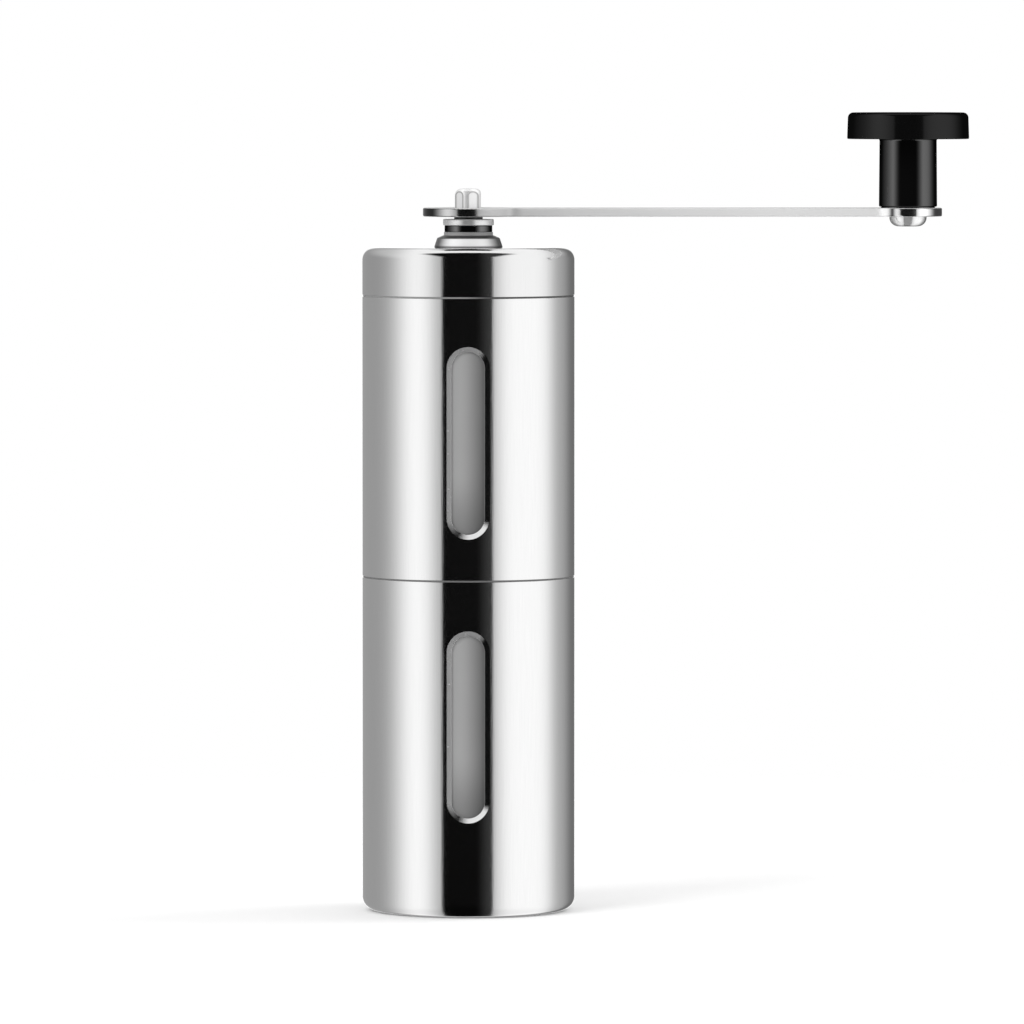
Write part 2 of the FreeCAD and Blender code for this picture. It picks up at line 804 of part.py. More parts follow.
def make_shaft_retainers():
    ring("clip_washer", "washer_radius", "shaft_radius + slide_clearance", "washer_thickness",
         z="clip_washer_level")
    ring("spring_washer", "washer_radius", "shaft_radius + slide_clearance", "washer_thickness",
         z="spring_washer_level")
    body = turn("shaft_clip", [
        ("groove_radius + running_clearance", "0"),
        ("clip_radius", "0"),
        ("clip_radius", "clip_thickness"),
        ("groove_radius + running_clearance", "clip_thickness"),
    ], z="clip_level")
    gap = polygon(body, "clip_gap_outline", [
        ("0", "-clip_mouth / 2"),
        (f"clip_radius + {PAST}", "-clip_mouth / 2"),
        (f"clip_radius + {PAST}", "clip_mouth / 2"),
        ("0", "clip_mouth / 2"),
    ], role="XY_Plane")
    extrude(body, "Pocket", "clip_gap", gap, "clip_thickness", flip=True)


def make_burr_spring():
    """One unbroken coil of round wire, swept along quarter-turn arcs of its helix."""
    radius = value("spring_radius")
    wire = value("spring_wire")
    turns = value("spring_turns")
    seat = wire / 2 + value("axial_play")
    rise = value("spring_washer_level - spring_level") - 2 * seat

    def spot(share):
        angle = 2 * math.pi * turns * share
        return Vector(radius * math.cos(angle), radius * math.sin(angle), seat + rise * share)

    steps = round(4 * turns)
    arcs = [Part.Arc(spot(index / steps), spot((index + 0.5) / steps), spot((index + 1) / steps)).toShape()
            for index in range(steps)]
    path = Part.Wire(arcs)
    heading = spot(1e-4) - spot(0)
    section = Part.Wire([Part.makeCircle(wire / 2, spot(0), heading)])
    coil = path.makePipeShell([section], True, False)
    shaped("burr_spring", coil, "spring_level")
    samples = [spot(index / GAP_POINTS) for index in range(GAP_POINTS + 1)]
    apart = round(GAP_POINTS / turns / 2)
    least = min((first - second).Length for index, first in enumerate(samples)
                for second in samples[index + apart:])
    print(f"burr_spring least gap to itself {least - wire:.2f} mm")


def make_click_plate():
    height = value("plate_thickness")
    disc = Part.makeCylinder(value("plate_radius"), height).cut(double_flat_hole(height))
    count = round(value("click_count"))
    reach = value("plate_radius - click_inset")
    ball = value("click_ball")
    for index in range(count):
        angle = 2 * math.pi * index / count
        dimple = Part.makeSphere(ball, Vector(reach * math.cos(angle), reach * math.sin(angle), -ball / 2))
        disc = disc.cut(dimple)
    shaped("click_plate", disc, "plate_level")


def make_adjuster():
    body = turn("adjuster_dial", [
        ("dial_bore", "0"),
        ("dial_radius - dial_low_bevel", "0"),
        ("dial_radius", "dial_low_bevel"),
        ("dial_radius", "dial_height - dial_top_bevel"),
        ("dial_radius - dial_top_bevel", "dial_height"),
        ("dial_bore", "dial_height"),
    ], z="dial_level")
    scallop = circle(body, "dial_scallop_outline", "scallop_radius", x="dial_radius + scallop_offset")
    repeat(body, extrude(body, "Pocket", "dial_scallop", scallop, "dial_height", flip=True), "dial_lobes")
    corner = "(nut_corner_radius + fit_clearance)"
    spots = [(f"{corner} * cos({60 * side} deg)", f"{corner} * sin({60 * side} deg)") for side in range(6)]
    socket = polygon(body, "dial_socket_outline", spots, role="XY_Plane", lift="dial_height")
    extrude(body, "Pocket", "dial_socket", socket, "nut_height")
    hex_nut("adjuster_nut", "nut_corner_radius", "nut_height", "thread_radius + slide_clearance",
            z="dial_level + dial_height - nut_height")


# Lid: steel cap, liner with its plug, collar bush and bearing rings.

def make_lid():
    body = turn("lid_shell", [
        ("shell_bore", "0"),
        ("body_radius", "0"),
        ("body_radius", "lid_height"),
        ("lid_hole_radius", "lid_height"),
        ("lid_hole_radius", "lid_height - shell_wall"),
        ("shell_bore", "lid_height - shell_wall"),
    ], z="lid_level")
    blend(body, "Fillet", "lid_corner", rims(body, ("body_radius", "lid_height")), "corner_radius")
    blend(body, "Fillet", "lid_inner_corner", rims(body, ("shell_bore", "lid_height - shell_wall")),
          "inner_corner")
    turn("lid_liner", [
        ("lid_plug_bore", "0"),
        ("lid_plug_radius", "0"),
        ("lid_plug_radius", "lid_plug_depth"),
        ("liner_radius", "lid_plug_depth"),
        ("liner_radius", "lid_liner_height - inner_corner"),
        ("liner_radius - inner_corner", "lid_liner_height"),
        ("lid_hole_radius", "lid_liner_height"),
        ("lid_hole_radius", "lid_liner_height - lid_disc"),
        ("lid_plug_bore", "lid_liner_height - lid_disc"),
    ], z="lid_level - lid_plug_depth")


def make_lid_bush():
    rim = ("collar_radius - collar_lean", "bush_tail + collar_rim")
    body = turn("lid_bush", [
        ("bush_bore", "0"),
        ("bush_tail_radius", "0"),
        ("bush_tail_radius", "bush_tail"),
        ("collar_radius", "bush_tail"),
        rim,
        ("neck_radius", "bush_tail + collar_height"),
        ("neck_radius", "neck_top"),
        ("core_radius", "neck_top"),
        ("core_radius", "core_top"),
        ("bush_bore", "core_top"),
    ], z="lid_top - bush_tail")
    blend(body, "Fillet", "collar_edge", rims(body, rim), "collar_round")
    ring("bearing_ring", "bearing_radius", "core_radius + running_clearance", "bearing_height",
         z="bearing_level")
    ring("thrust_ring", "thrust_radius", "shaft_radius + slide_clearance", "thrust_height", z="thrust_level")
    hex_nut("lid_nut", "lid_nut_corner_radius", "lid_nut_height", "bush_tail_radius + running_clearance",
            z="lid_top - shell_wall - lid_disc - lid_nut_height")


# Crank arm, its pin and the knob that turns on it.

def make_crank_arm():
    body = new_body("crank_arm", z="arm_level")
    eye = circle(body, "shaft_eye_outline", "shaft_eye_radius")
    extrude(body, "Pad", "shaft_eye", eye, "arm_thickness")
    far = circle(body, "knob_eye_outline", "knob_eye_radius", x="crank_length")
    extrude(body, "Pad", "knob_eye", far, "arm_thickness")
    bar = polygon(body, "arm_bar_outline", [
        ("0", "-arm_half_bar"),
        ("crank_length", "-arm_half_bar"),
        ("crank_length", "arm_half_bar"),
        ("0", "arm_half_bar"),
    ], role="XY_Plane")
    extrude(body, "Pad", "arm_bar", bar, "arm_thickness")
    half = value("arm_half_bar")
    low_x = math.sqrt(value("shaft_eye_radius") ** 2 - half ** 2)
    high_x = value("crank_length") - math.sqrt(value("knob_eye_radius") ** 2 - half ** 2)

    def at_junction(point):
        near = min(abs(point.x - low_x), abs(point.x - high_x))
        return near < NEAR and abs(abs(point.y) - half) < NEAR

    blend(body, "Fillet", "arm_junctions", edges_where(body, at_junction), "arm_junction")
    thick = value("arm_thickness")
    outline = edges_where(body, lambda point: min(abs(point.z), abs(point.z - thick)) < NEAR)
    blend(body, "Fillet", "arm_edges", outline, "arm_edge_round")
    corners = [f"({54 + 72 * side} - head_turn) * 1 deg" for side in range(5)]
    spots = [(f"head_corner * cos({corner})", f"head_corner * sin({corner})") for corner in corners]
    socket = polygon(body, "arm_socket_outline", spots, role="XY_Plane")
    extrude(body, "Pocket", "arm_socket", socket, "arm_thickness", flip=True)
    hole = circle(body, "arm_pin_outline", "pin_radius + running_clearance", x="crank_length")
    extrude(body, "Pocket", "arm_pin_hole", hole, "arm_thickness", flip=True)


def make_knob_fittings():
    body = turn("knob_pin", [
        ("0", "0"),
        ("pin_head_radius", "0"),
        ("pin_head_radius", "pin_head_height"),
        ("pin_radius", "pin_head_height"),
        ("pin_radius", "pin_length"),
        ("pin_bore", "pin_length"),
        ("pin_bore", "pin_bore_floor"),
        ("0", "pin_bore_floor"),
    ], x="crank_length", z="arm_level - pin_head_height")
    blend(body, "Fillet", "pin_dome", rims(body, ("pin_head_radius", "0")), "pin_head_height - pin_rim")
    ring("knob_thrust_washer", "stem_radius - thrust_washer_inset", "knob_bore", "knob_gap - axial_play",
         x="crank_length", z="arm_top")
    ring("knob_lock_washer", "knob_recess_radius - lock_washer_room",
         "knob_screw_diameter / 2 + slide_clearance", "washer_thickness",
         x="crank_length", z="knob_washer_level")
    turn("knob_screw", [
        ("0", "0"),
        ("knob_screw_diameter / 2", "0"),
        ("knob_screw_diameter / 2", "screw_seat"),
        ("knob_screw_head / 2", "screw_seat"),
        ("knob_screw_head / 2", "screw_top"),
        ("0", "screw_top"),
    ], x="crank_length", z="knob_washer_level - knob_screw_length")


def make_knob():
    body = turn("knob_grip", [
        ("knob_bore", "0"),
        ("stem_radius", "0"),
        ("stem_radius - stem_taper", "stem_height"),
        ("disc_radius", "stem_height"),
        ("disc_radius - disc_taper", "knob_height"),
        ("cap_radius + slide_clearance", "knob_height"),
        ("cap_radius + slide_clearance", "cap_recess"),
        ("knob_recess_radius", "cap_recess"),
        ("knob_recess_radius", "screw_recess"),
        ("knob_bore", "screw_recess"),
    ], x="crank_length", z="knob_level")
    top_rim = ("disc_radius - disc_taper", "knob_height")
    blend(body, "Fillet", "disc_top_edge", rims(body, top_rim), "disc_round")
    blend(body, "Fillet", "disc_low_edge", rims(body, ("disc_radius", "stem_height")), "disc_low_round")
    cap = doc.addObject("Part::Cylinder", "knob_cap")
    cap.setExpression("Radius", bind("cap_radius"))
    cap.setExpression("Height", bind("cap_height"))
    keep("knob_cap", place(cap, x="crank_length", z="knob_level + cap_recess"))


def export():
    """Check every object of the document and write each piece to its own file."""
    doc.recompute()
    for item in doc.Objects:
        if "Invalid" in item.State or "Error" in item.State:
            raise ValueError(f"{item.Label} did not build")
    os.makedirs("parts", exist_ok=True)
    for label, item in NODES.items():
        shape = item.Shape
        if shape.isNull() or not shape.isValid() or len(shape.Solids) != 1:
            raise ValueError(f"{label} is not one sound solid")
        shape.exportStep(f"parts/{label}.step")
        box = shape.BoundBox
        print(f"{label}: {shape.Volume:.1f} mm3, z {box.ZMin:.2f} to {box.ZMax:.2f}")


make_lower_can()
make_grounds_cup()
make_upper_sleeve()
make_hopper_liner()
make_burr_carrier()
make_shaft_bridge()
make_bridge_screws()
make_bridge_bush()
make_inner_burr()
make_outer_burr()
make_burr_retainer()
make_drive_shaft()
make_shaft_retainers()
make_burr_spring()
make_click_plate()
make_adjuster()
make_lid()
make_lid_bush()
make_crank_arm()
make_knob_fittings()
make_knob()
export()
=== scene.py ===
"""Looks of a hand crank coffee grinder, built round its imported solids.

The frame is the solids' own: +Z up, the base at the origin, the window slots towards -Y and the crank arm
towards +X. Sizes of pieces are in millimetres and become metres when a mesh is made. Sizes in finishes and in
the studio are in metres.
"""

import logging
import math
from dataclasses import dataclass
from enum import Enum
from typing import Any, Callable, Iterable, Optional, Sequence, Union

import bmesh
import bpy
import numpy as np
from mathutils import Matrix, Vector


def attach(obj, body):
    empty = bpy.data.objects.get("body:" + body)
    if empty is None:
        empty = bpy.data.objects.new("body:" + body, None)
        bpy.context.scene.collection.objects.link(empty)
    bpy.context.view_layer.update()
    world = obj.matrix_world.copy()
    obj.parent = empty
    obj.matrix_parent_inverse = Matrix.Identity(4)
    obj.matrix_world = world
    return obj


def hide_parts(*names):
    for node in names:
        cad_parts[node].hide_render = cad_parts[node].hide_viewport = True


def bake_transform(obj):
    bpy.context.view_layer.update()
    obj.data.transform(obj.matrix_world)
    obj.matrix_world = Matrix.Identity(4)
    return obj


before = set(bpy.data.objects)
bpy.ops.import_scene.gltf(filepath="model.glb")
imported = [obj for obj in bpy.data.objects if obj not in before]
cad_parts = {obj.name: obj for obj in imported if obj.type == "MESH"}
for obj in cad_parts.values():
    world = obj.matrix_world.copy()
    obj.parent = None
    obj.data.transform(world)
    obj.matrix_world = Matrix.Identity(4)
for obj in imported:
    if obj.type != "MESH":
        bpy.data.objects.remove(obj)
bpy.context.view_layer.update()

LOG = logging.getLogger("grinder")
MM = 0.001
DEGREES = 180 / math.pi
FULL_TURN = 2 * math.pi

# Sizes that more than one piece or finish takes, in millimetres
BODY_RADIUS = 24.5
BODY_BORE = 23.8
STEEL_RIM = 0.16
WINDOW_WIDTH = 9.8
WINDOW_LENGTH = 44.0
CAN_WINDOW = 43.7
SLEEVE_WINDOW = 108.65
LID_TOP = 153.05
KNOB_CENTRE = 101.3
KNOB_DISC = 177.9

# An arc and its guard point take up to these shares of a straight, with the guard a little past the arc
ARC_SHARE = 0.45
GUARD_SHARE = 0.48
GUARD_REACH = 1.35
GUARD_GAP = 0.02

# Points this close, in millimetres, lie on a wall, and points this close, in metres, are one
ON_WALL = 1e-3
SAME_POINT = 1e-7

LEAST_ROUGHNESS = 0.03

Array = np.ndarray
Corner = tuple[float, float, float]
Span = tuple[float, float]
Value = Union["Sock", float, Sequence[float]]


class Body(Enum):
    """Rigid bodies that carry pieces."""

    BIN = "grounds_bin"
    UPPER = "upper_body"
    LID = "lid"
    RING = "crank_ring"
    KNOB = "knob"
    SHAFT = "shaft"
    BURR = "burr"


def arithmetic(operation: str, flipped: bool = False) -> Callable[["Sock", Value], "Sock"]:
    """Make an operator of shader values.

    Args:
        operation: what its Math node does.
        flipped: whether the other value comes first.

    Returns:
        The method.
    """
    def method(self: "Sock", other: Value) -> "Sock":
        """Add the Math node."""
        values = (other, self) if flipped else (self, other)
        return self.tree.math(operation, *values)

    return method


class Sock:
    """A shader value that takes plain arithmetic."""

    def __init__(self, tree: "Tree", socket: Optional[bpy.types.NodeSocket]) -> None:
        """Wrap an output socket of a tree."""
        self.tree = tree
        self.socket = socket

    __add__ = arithmetic("ADD")
    __radd__ = arithmetic("ADD", flipped=True)
    __sub__ = arithmetic("SUBTRACT")
    __rsub__ = arithmetic("SUBTRACT", flipped=True)
    __mul__ = arithmetic("MULTIPLY")
    __rmul__ = arithmetic("MULTIPLY", flipped=True)
    __truediv__ = arithmetic("DIVIDE")
    __rtruediv__ = arithmetic("DIVIDE", flipped=True)

    def __neg__(self) -> "Sock":
        """Turn the sign."""
        return self * -1.0

    def __abs__(self) -> "Sock":
        """Drop the sign."""
        return self.tree.math("ABSOLUTE", self)


class Tree:
    """A node tree written as formulas."""

    def __init__(self, owner: Union[bpy.types.Material, bpy.types.World]) -> None:
        """Start an empty tree.

        Args:
            owner: the material or world whose nodes are written.
        """
        owner.use_nodes = True
        self.nodes = owner.node_tree.nodes
        self.links = owner.node_tree.links
        self.nodes.clear()

    def put(self, socket: bpy.types.NodeSocket, value: Value) -> None:
        """Set or link an input.

        Args:
            socket: the input.
            value: a wrapped output, a number or a list of numbers.
        """
        if isinstance(value, Sock):
            self.links.new(value.socket, socket)
        else:
            socket.default_value = value

    def node(self, kind: str, sockets: Optional[dict[Union[str, int], Value]] = None,
             output: Union[str, int] = 0, **settings: Any) -> Sock:
        """Add any node.

        Args:
            kind: its type without the ShaderNode prefix.
            sockets: inputs by name or index.
            output: the output to return, by name or index.
            **settings: plain attributes of the node.

        Returns:
            The chosen output, which wraps nothing if the node ends a tree.
        """
        item = self.nodes.new(f"ShaderNode{kind}")
        for key, setting in settings.items():
            setattr(item, key, setting)
        for key, value in (sockets or {}).items():
            self.put(item.inputs[key], value)
        return Sock(self, item.outputs[output] if item.outputs else None)

    def math(self, operation: str, *values: Value) -> Sock:
        """Add one Math node with one to three inputs."""
        return self.node("Math", dict(enumerate(values)), operation=operation)

    def smooth(self, value: Value, start: float, end: float, low: float = 0.0, high: float = 1.0) -> Sock:
        """Ease from a low level before the start to a high one after the end."""
        sockets = {0: value, 1: start, 2: end, 3: low, 4: high}
        return self.node("MapRange", sockets, interpolation_type="SMOOTHSTEP")

    def band(self, value: Value, rise: Span, fall: Span) -> Sock:
        """Give 1 between an eased rise and an eased fall, and 0 outside them."""
        return self.smooth(value, *rise) * (1.0 - self.smooth(value, *fall))

    def bell(self, value: Sock, middle: float, width: float, flat: bool = False) -> Sock:
        """Give a soft bump, exp(-s^2) with s the distance in widths, or exp(-s^4) if its top is flat.

        Args:
            value: what it depends on.
            middle: where it is 1.
            width: distance at which it has fallen to about a third.
            flat: whether its top is flat.

        Returns:
            The height of the bump.
        """
        share = (value - middle) / width
        square = share * share
        return self.math("EXPONENT", -(square * square if flat else square))

    def place(self, scale: Sequence[float] = (1.0, 1.0, 1.0)) -> Sock:
        """Give the object's own coordinates, stretched by a factor along each axis."""
        spot = self.node("TexCoord", output="Object")
        return self.node("Mapping", {"Vector": spot, "Scale": scale})

    def axis(self, name: str, vector: Optional[Sock] = None) -> Sock:
        """Give the X, Y or Z part of a vector, or of the object's own coordinates if there is none."""
        return self.node("SeparateXYZ", {0: vector or self.place()}, output=name)

    def graze(self) -> Sock:
        """Give how far the surface turns from view, 0 face on and 1 edge on."""
        return self.node("LayerWeight", output="Facing")

    def noise(self, scale: float, detail: float, stretch: Sequence[float] = (1.0, 1.0, 1.0),
              roughness: float = 0.55) -> Sock:
        """Give fractal noise near 0.5 of a fineness per metre, stretched along the object's axes."""
        sockets = {"Vector": self.place(stretch), "Scale": scale, "Detail": detail, "Roughness": roughness}
        return self.node("TexNoise", sockets)

    def mix(self, share: Value, first: Value, second: Value) -> Sock:
        """Blend two colours by the share of the second."""
        return self.node("Mix", {0: share, 6: first, 7: second}, output=2, data_type="RGBA")

    def bump(self, height: Sock, distance: float, strength: float) -> Sock:
        """Turn a height, scaled by a distance in metres, into a shading normal of some strength."""
        return self.node("Bump", {"Height": height, "Distance": distance, "Strength": strength})

    def surface(self, shader: Sock) -> None:
        """End a material with what its surface shows."""
        self.node("OutputMaterial", {"Surface": shader})


def grey(level: float, warmth: float = 0.0) -> tuple[float, float, float, float]:
    """Give a near neutral linear colour that leans to yellow by its warmth."""
    return (level * (1 + warmth), level, level * (1 - warmth), 1.0)


def above_foot(tree: Tree) -> Sock:
    """Give the height above the foot of a window, which starts again at each window.

    Args:
        tree: the material's tree.

    Returns:
        The height, in metres.
    """
    foot = (CAN_WINDOW - WINDOW_LENGTH / 2) * MM
    pitch = (SLEEVE_WINDOW - CAN_WINDOW) * MM
    return tree.math("FRACT", (tree.axis("Z") - foot) / pitch) * pitch


@dataclass(frozen=True)
class Finish:
    """A surface finish. Subclasses write the nodes."""

    name: str
    slot: str

    def write(self, tree: Tree) -> Sock:
        """Write the finish into an empty tree and give its shader."""
        raise NotImplementedError

    def material(self) -> bpy.types.Material:
        """Make or fetch the material.

        Returns:
            The material of this finish.
        """
        name = f"{self.name}_finish"
        made = bpy.data.materials.get(name)
        if made is None:
            made = bpy.data.materials.new(name)
            tree = Tree(made)
            tree.surface(self.write(tree))
        return made


@dataclass(frozen=True)
class Metal(Finish):
    """Bare metal with a fine directional grain, smudges and hairline scratches."""

    level: float
    roughness: float
    warmth: float = 0.0
    spread: float = 0.05
    grain: tuple[float, float, float] = (1.0, 1.0, 0.02)
    grain_scale: float = 6000.0
    grain_shade: float = 0.08
    grain_depth: float = 0.00001
    grain_strength: float = 0.35
    smudge_scale: float = 60.0
    hair_scale: float = 1000.0
    hair: Span = (0.66, 0.72)
    hair_dulling: float = 0.04

    def polish(self, tree: Tree) -> Value:
        """Give the roughness before grain, smudges and hairlines."""
        return self.roughness

    def tint(self, tree: Tree) -> Value:
        """Give how much of its lightness the metal keeps."""
        return 1.0

    def bareness(self, tree: Tree) -> Value:
        """Give how far the surface is bare metal."""
        return 1.0

    def write(self, tree: Tree) -> Sock:
        """Write grain, smudges and hairlines over the bare metal.

        Args:
            tree: the empty node tree of its material.

        Returns:
            The finished shader.
        """
        fine = tree.noise(self.grain_scale, detail=2.0, stretch=self.grain)
        smudge = tree.noise(self.smudge_scale, detail=3.0)
        hair = tree.smooth(tree.noise(self.hair_scale, detail=1.0, stretch=self.grain), *self.hair)
        lightness = self.level * (1.0 + self.grain_shade * (fine - 0.5)) * self.tint(tree)
        rough = self.spread * (fine - 0.5) + self.spread * (smudge - 0.5) + self.hair_dulling * hair
        return tree.node("BsdfPrincipled", {
            "Base Color": tree.mix(lightness, grey(0.0), grey(1.0, self.warmth)),
            "Metallic": self.bareness(tree),
            "Roughness": tree.math("MAXIMUM", rough + self.polish(tree), LEAST_ROUGHNESS),
            "Normal": tree.bump(fine, self.grain_depth, self.grain_strength),
        })


@dataclass(frozen=True)
class BarMetal(Metal):
    """A flat bar along X: satin faces and a narrow edge blasted between two bright eyes, under painted light
    and shade.
    """

    # Lightness of the upper and under faces: the upper face is painted darker, a painted shade
    face: float = 0.72
    under: float = 0.97
    side_rise: Span = (-0.5, 0.5)
    flat_rise: Span = (0.6, 0.95)
    satin: float = 0.5
    blast: float = 0.55
    near_end: float = 0.0022
    far_end: float = 0.0965
    end_fade: float = 0.001
    # Painted light and shade on the edge: painted paler towards the knob, painted dark reflections at the
    # ends of the eyes and at the notch by the knob's eye, and a painted shade round the shaft's eye
    painted_near_shade: float = 0.95
    painted_far_light: float = 1.3
    painted_tip_shade: float = 0.06
    tip: Span = (0.002, 0.004)
    tip_turn: Span = (0.08, 0.4)
    painted_notch: float = -0.0039
    painted_notch_width: float = 0.0008
    eye: Span = (0.008, 0.011)
    painted_eye_shade: float = 0.74

    def rise(self, tree: Tree) -> Sock:
        """Give how far the surface faces up, 1 on the upper face and -1 on the under one."""
        return tree.axis("Z", tree.node("NewGeometry", output="Normal"))

    def flat(self, tree: Tree) -> Sock:
        """Mark the broad faces, 1 on them and 0 on the narrow edge."""
        return tree.smooth(abs(self.rise(tree)), *self.flat_rise)

    def middle(self, tree: Tree) -> Sock:
        """Mark the blasted parts.

        Args:
            tree: the material's tree.

        Returns:
            1 on the broad faces and on the edge between the eyes of the bar, 0 on the edge by them.
        """
        start = (self.near_end - self.end_fade, self.near_end + self.end_fade)
        end = (self.far_end - self.end_fade, self.far_end + self.end_fade)
        return tree.math("MAXIMUM", tree.band(tree.axis("X"), start, end), self.flat(tree))

    def polish(self, tree: Tree) -> Value:
        """Give the roughness: bright by the two eyes and satin between them."""
        return self.roughness + (self.satin - self.roughness) * self.middle(tree)

    def bareness(self, tree: Tree) -> Value:
        """Give the share of bare metal, lower where blasting has dulled it."""
        return 1.0 - self.blast * self.middle(tree)

    def tint(self, tree: Tree) -> Value:
        """Give painted light and shade: a darker upper face, an edge paler towards the knob and dark at the
        eyes.

        Args:
            tree: the material's tree.

        Returns:
            The share of lightness kept.
        """
        along = tree.axis("X")
        from_knob = along - KNOB_CENTRE * MM
        # Painted dark reflections at the ends of both eyes and at the notch by the knob's eye, a painted
        # shade round the shaft's eye, and a painted highlight towards the knob
        painted_tips = tree.smooth(-along, *self.tip) + tree.smooth(from_knob, *self.tip)
        painted_tips = painted_tips * tree.smooth(tree.graze(), *self.tip_turn)
        painted_notch = tree.bell(from_knob, self.painted_notch, self.painted_notch_width)
        kept = 1.0 - (1.0 - self.painted_tip_shade) * (painted_tips + painted_notch)
        eye = tree.smooth(abs(along - self.near_end), *self.eye, self.painted_eye_shade, 1.0)
        edge = kept * eye * tree.smooth(along, self.near_end, self.far_end, self.painted_near_shade, self.painted_far_light)
        # The upper face painted darker than the under one
        face = tree.smooth(self.rise(tree), *self.side_rise, self.under, self.face)
        return edge + (face - edge) * self.flat(tree)


@dataclass(frozen=True)
class SlotMetal(Metal):
    """The sloped edge of a window: polished, with a painted grey on its left and a painted highlight round
    its lower right end.
    """

    # A painted highlight round the lower right end and a painted grey on the left, made by turning the metal
    # matt and pale there
    blast: float = 0.8
    painted_glint_start: Span = (-0.6, 0.15)
    painted_glint_end: Span = (0.95, 1.45)
    painted_haze: float = 0.27
    painted_haze_side: Span = (-0.0035, -0.001)
    painted_haze_over: float = 0.006
    dulling: float = 0.5

    def pale(self, tree: Tree) -> Sock:
        """Mark where light is painted on the edge, by the angle round the slot's lower end, 0 straight down.

        Args:
            tree: the material's tree.

        Returns:
            The painted highlight from the foot of the slot to its lower right, and a weaker painted grey on
            its left and top.
        """
        radius = WINDOW_WIDTH / 2 * MM
        length = WINDOW_LENGTH * MM
        across = tree.axis("X")
        above = above_foot(tree)
        angle = tree.math("ARCTAN2", across, radius - above)
        # Painted highlight round the lower end, and painted grey on the left and top
        glint = tree.band(angle, self.painted_glint_start, self.painted_glint_end)
        head = tree.smooth(above, length - 2.0 * radius, length)
        left = 1.0 - tree.smooth(across - self.painted_haze_over * head, *self.painted_haze_side)
        left = left * tree.smooth(above, 0.0, radius)
        return tree.math("MAXIMUM", self.blast * glint, self.painted_haze * left)

    def polish(self, tree: Tree) -> Value:
        """Give the roughness, satin where light is painted."""
        return self.roughness + self.dulling * self.pale(tree)

    def bareness(self, tree: Tree) -> Value:
        """Give the share of bare metal, low where a pale matt skin paints the highlight and the grey."""
        return 1.0 - self.pale(tree)


@dataclass(frozen=True)
class Satin(Metal):
    """Metal whose skin is lightly blasted all over, and may have a painted shade where it turns from view."""

    blast: float = 0.5
    # Share of lightness taken off where the surface turns from view, a painted shade
    fade: float = 0.0
    fade_turn: Span = (0.3, 0.8)

    def bareness(self, tree: Tree) -> Value:
        """Give the share of bare metal left by the blasting."""
        return 1.0 - self.blast

    def tint(self, tree: Tree) -> Value:
        """Give the lightness, with a painted shade where the surface turns from view."""
        return tree.smooth(tree.graze(), *self.fade_turn, 1.0, 1.0 - self.fade)


@dataclass(frozen=True)
class CollarMetal(Satin):
    """Painted light and shade on the lid's collar: a wall dark at its sides and foot, a dark slope and a grey
    neck.
    """

    wall_foot: float = LID_TOP * MM
    wall_top: float = (LID_TOP + 2.1) * MM
    slope_top: float = (LID_TOP + 2.67) * MM
    # Painted shade: a painted shadow at the wall's foot, painted dark sides and slope, and a painted lighter
    # neck
    foot_fade: float = 0.0005
    painted_foot_shade: float = 0.2
    side_turn: Span = (0.12, 0.62)
    painted_side_shade: float = 0.1
    slope_fade: float = 0.0003
    painted_slope_shade: float = 0.05
    neck_fade: float = 0.00005
    painted_neck_light: float = 0.35

    def tint(self, tree: Tree) -> Value:
        """Give painted shade and light by height, and a painted shade where the wall turns from view.

        Args:
            tree: the material's tree.

        Returns:
            The share of lightness kept.
        """
        # Painted shadow at the wall's foot, painted dark reflections at its sides and on the slope, and a
        # painted lighter neck
        height = tree.axis("Z")
        foot = tree.smooth(height, self.wall_foot, self.wall_foot + self.foot_fade, self.painted_foot_shade, 1.0)
        wall = foot * tree.smooth(tree.graze(), *self.side_turn, 1.0, self.painted_side_shade)
        slope = tree.smooth(height, self.wall_top - self.slope_fade, self.wall_top)
        neck = tree.smooth(height, self.slope_top - self.neck_fade, self.slope_top + self.neck_fade)
        return wall + (self.painted_slope_shade - wall) * slope + self.painted_neck_light * neck


@dataclass(frozen=True)
class ShaftMetal(Satin):
    """Turned steel with machined flats, with painted shade along their edges and a painted shadow on the neck
    under its head.
    """

    mark: str = "milled_with_painted_shade"
    shade: float = 0.6

    def tint(self, tree: Tree) -> Value:
        """Give the lightness, lower where shade is painted on the piece."""
        return 1.0 - self.shade * tree.node("Attribute", output="Fac", attribute_name=self.mark)


@dataclass(frozen=True)
class Plastic(Finish):
    """Moulded plastic: a tint that drifts a little, handling marks and a fine skin."""

    level: float
    roughness: float
    index: float = 1.45
    coat_index: float = 1.5
    skin_scale: float = 1800.0
    skin_depth: float = 0.00002
    skin_strength: float = 0.4
    skin_spread: float = 0.05
    mark_scale: float = 90.0
    mark_shades: Span = (0.85, 1.2)
    mark_spread: float = 0.5

    def lacquer(self, tree: Tree) -> Value:
        """Give the weight of a clear coat."""
        return 0.0

    def write(self, tree: Tree) -> Sock:
        """Write the moulded skin.

        Args:
            tree: the empty node tree of its material.

        Returns:
            The finished shader.
        """
        skin = tree.noise(self.skin_scale, detail=3.0)
        marks = tree.noise(self.mark_scale, detail=5.0, roughness=0.65)
        shades = (grey(self.level * shade) for shade in self.mark_shades)
        rough = self.roughness * (1.0 + self.mark_spread * (marks - 0.5)) + self.skin_spread * (skin - 0.5)
        return tree.node("BsdfPrincipled", {
            "Base Color": tree.mix(marks, *shades),
            "Roughness": tree.math("MAXIMUM", rough, LEAST_ROUGHNESS),
            "IOR": self.index,
            "Coat Weight": self.lacquer(tree),
            "Coat IOR": self.coat_index,
            "Normal": tree.bump(skin, self.skin_depth, self.skin_strength),
        })


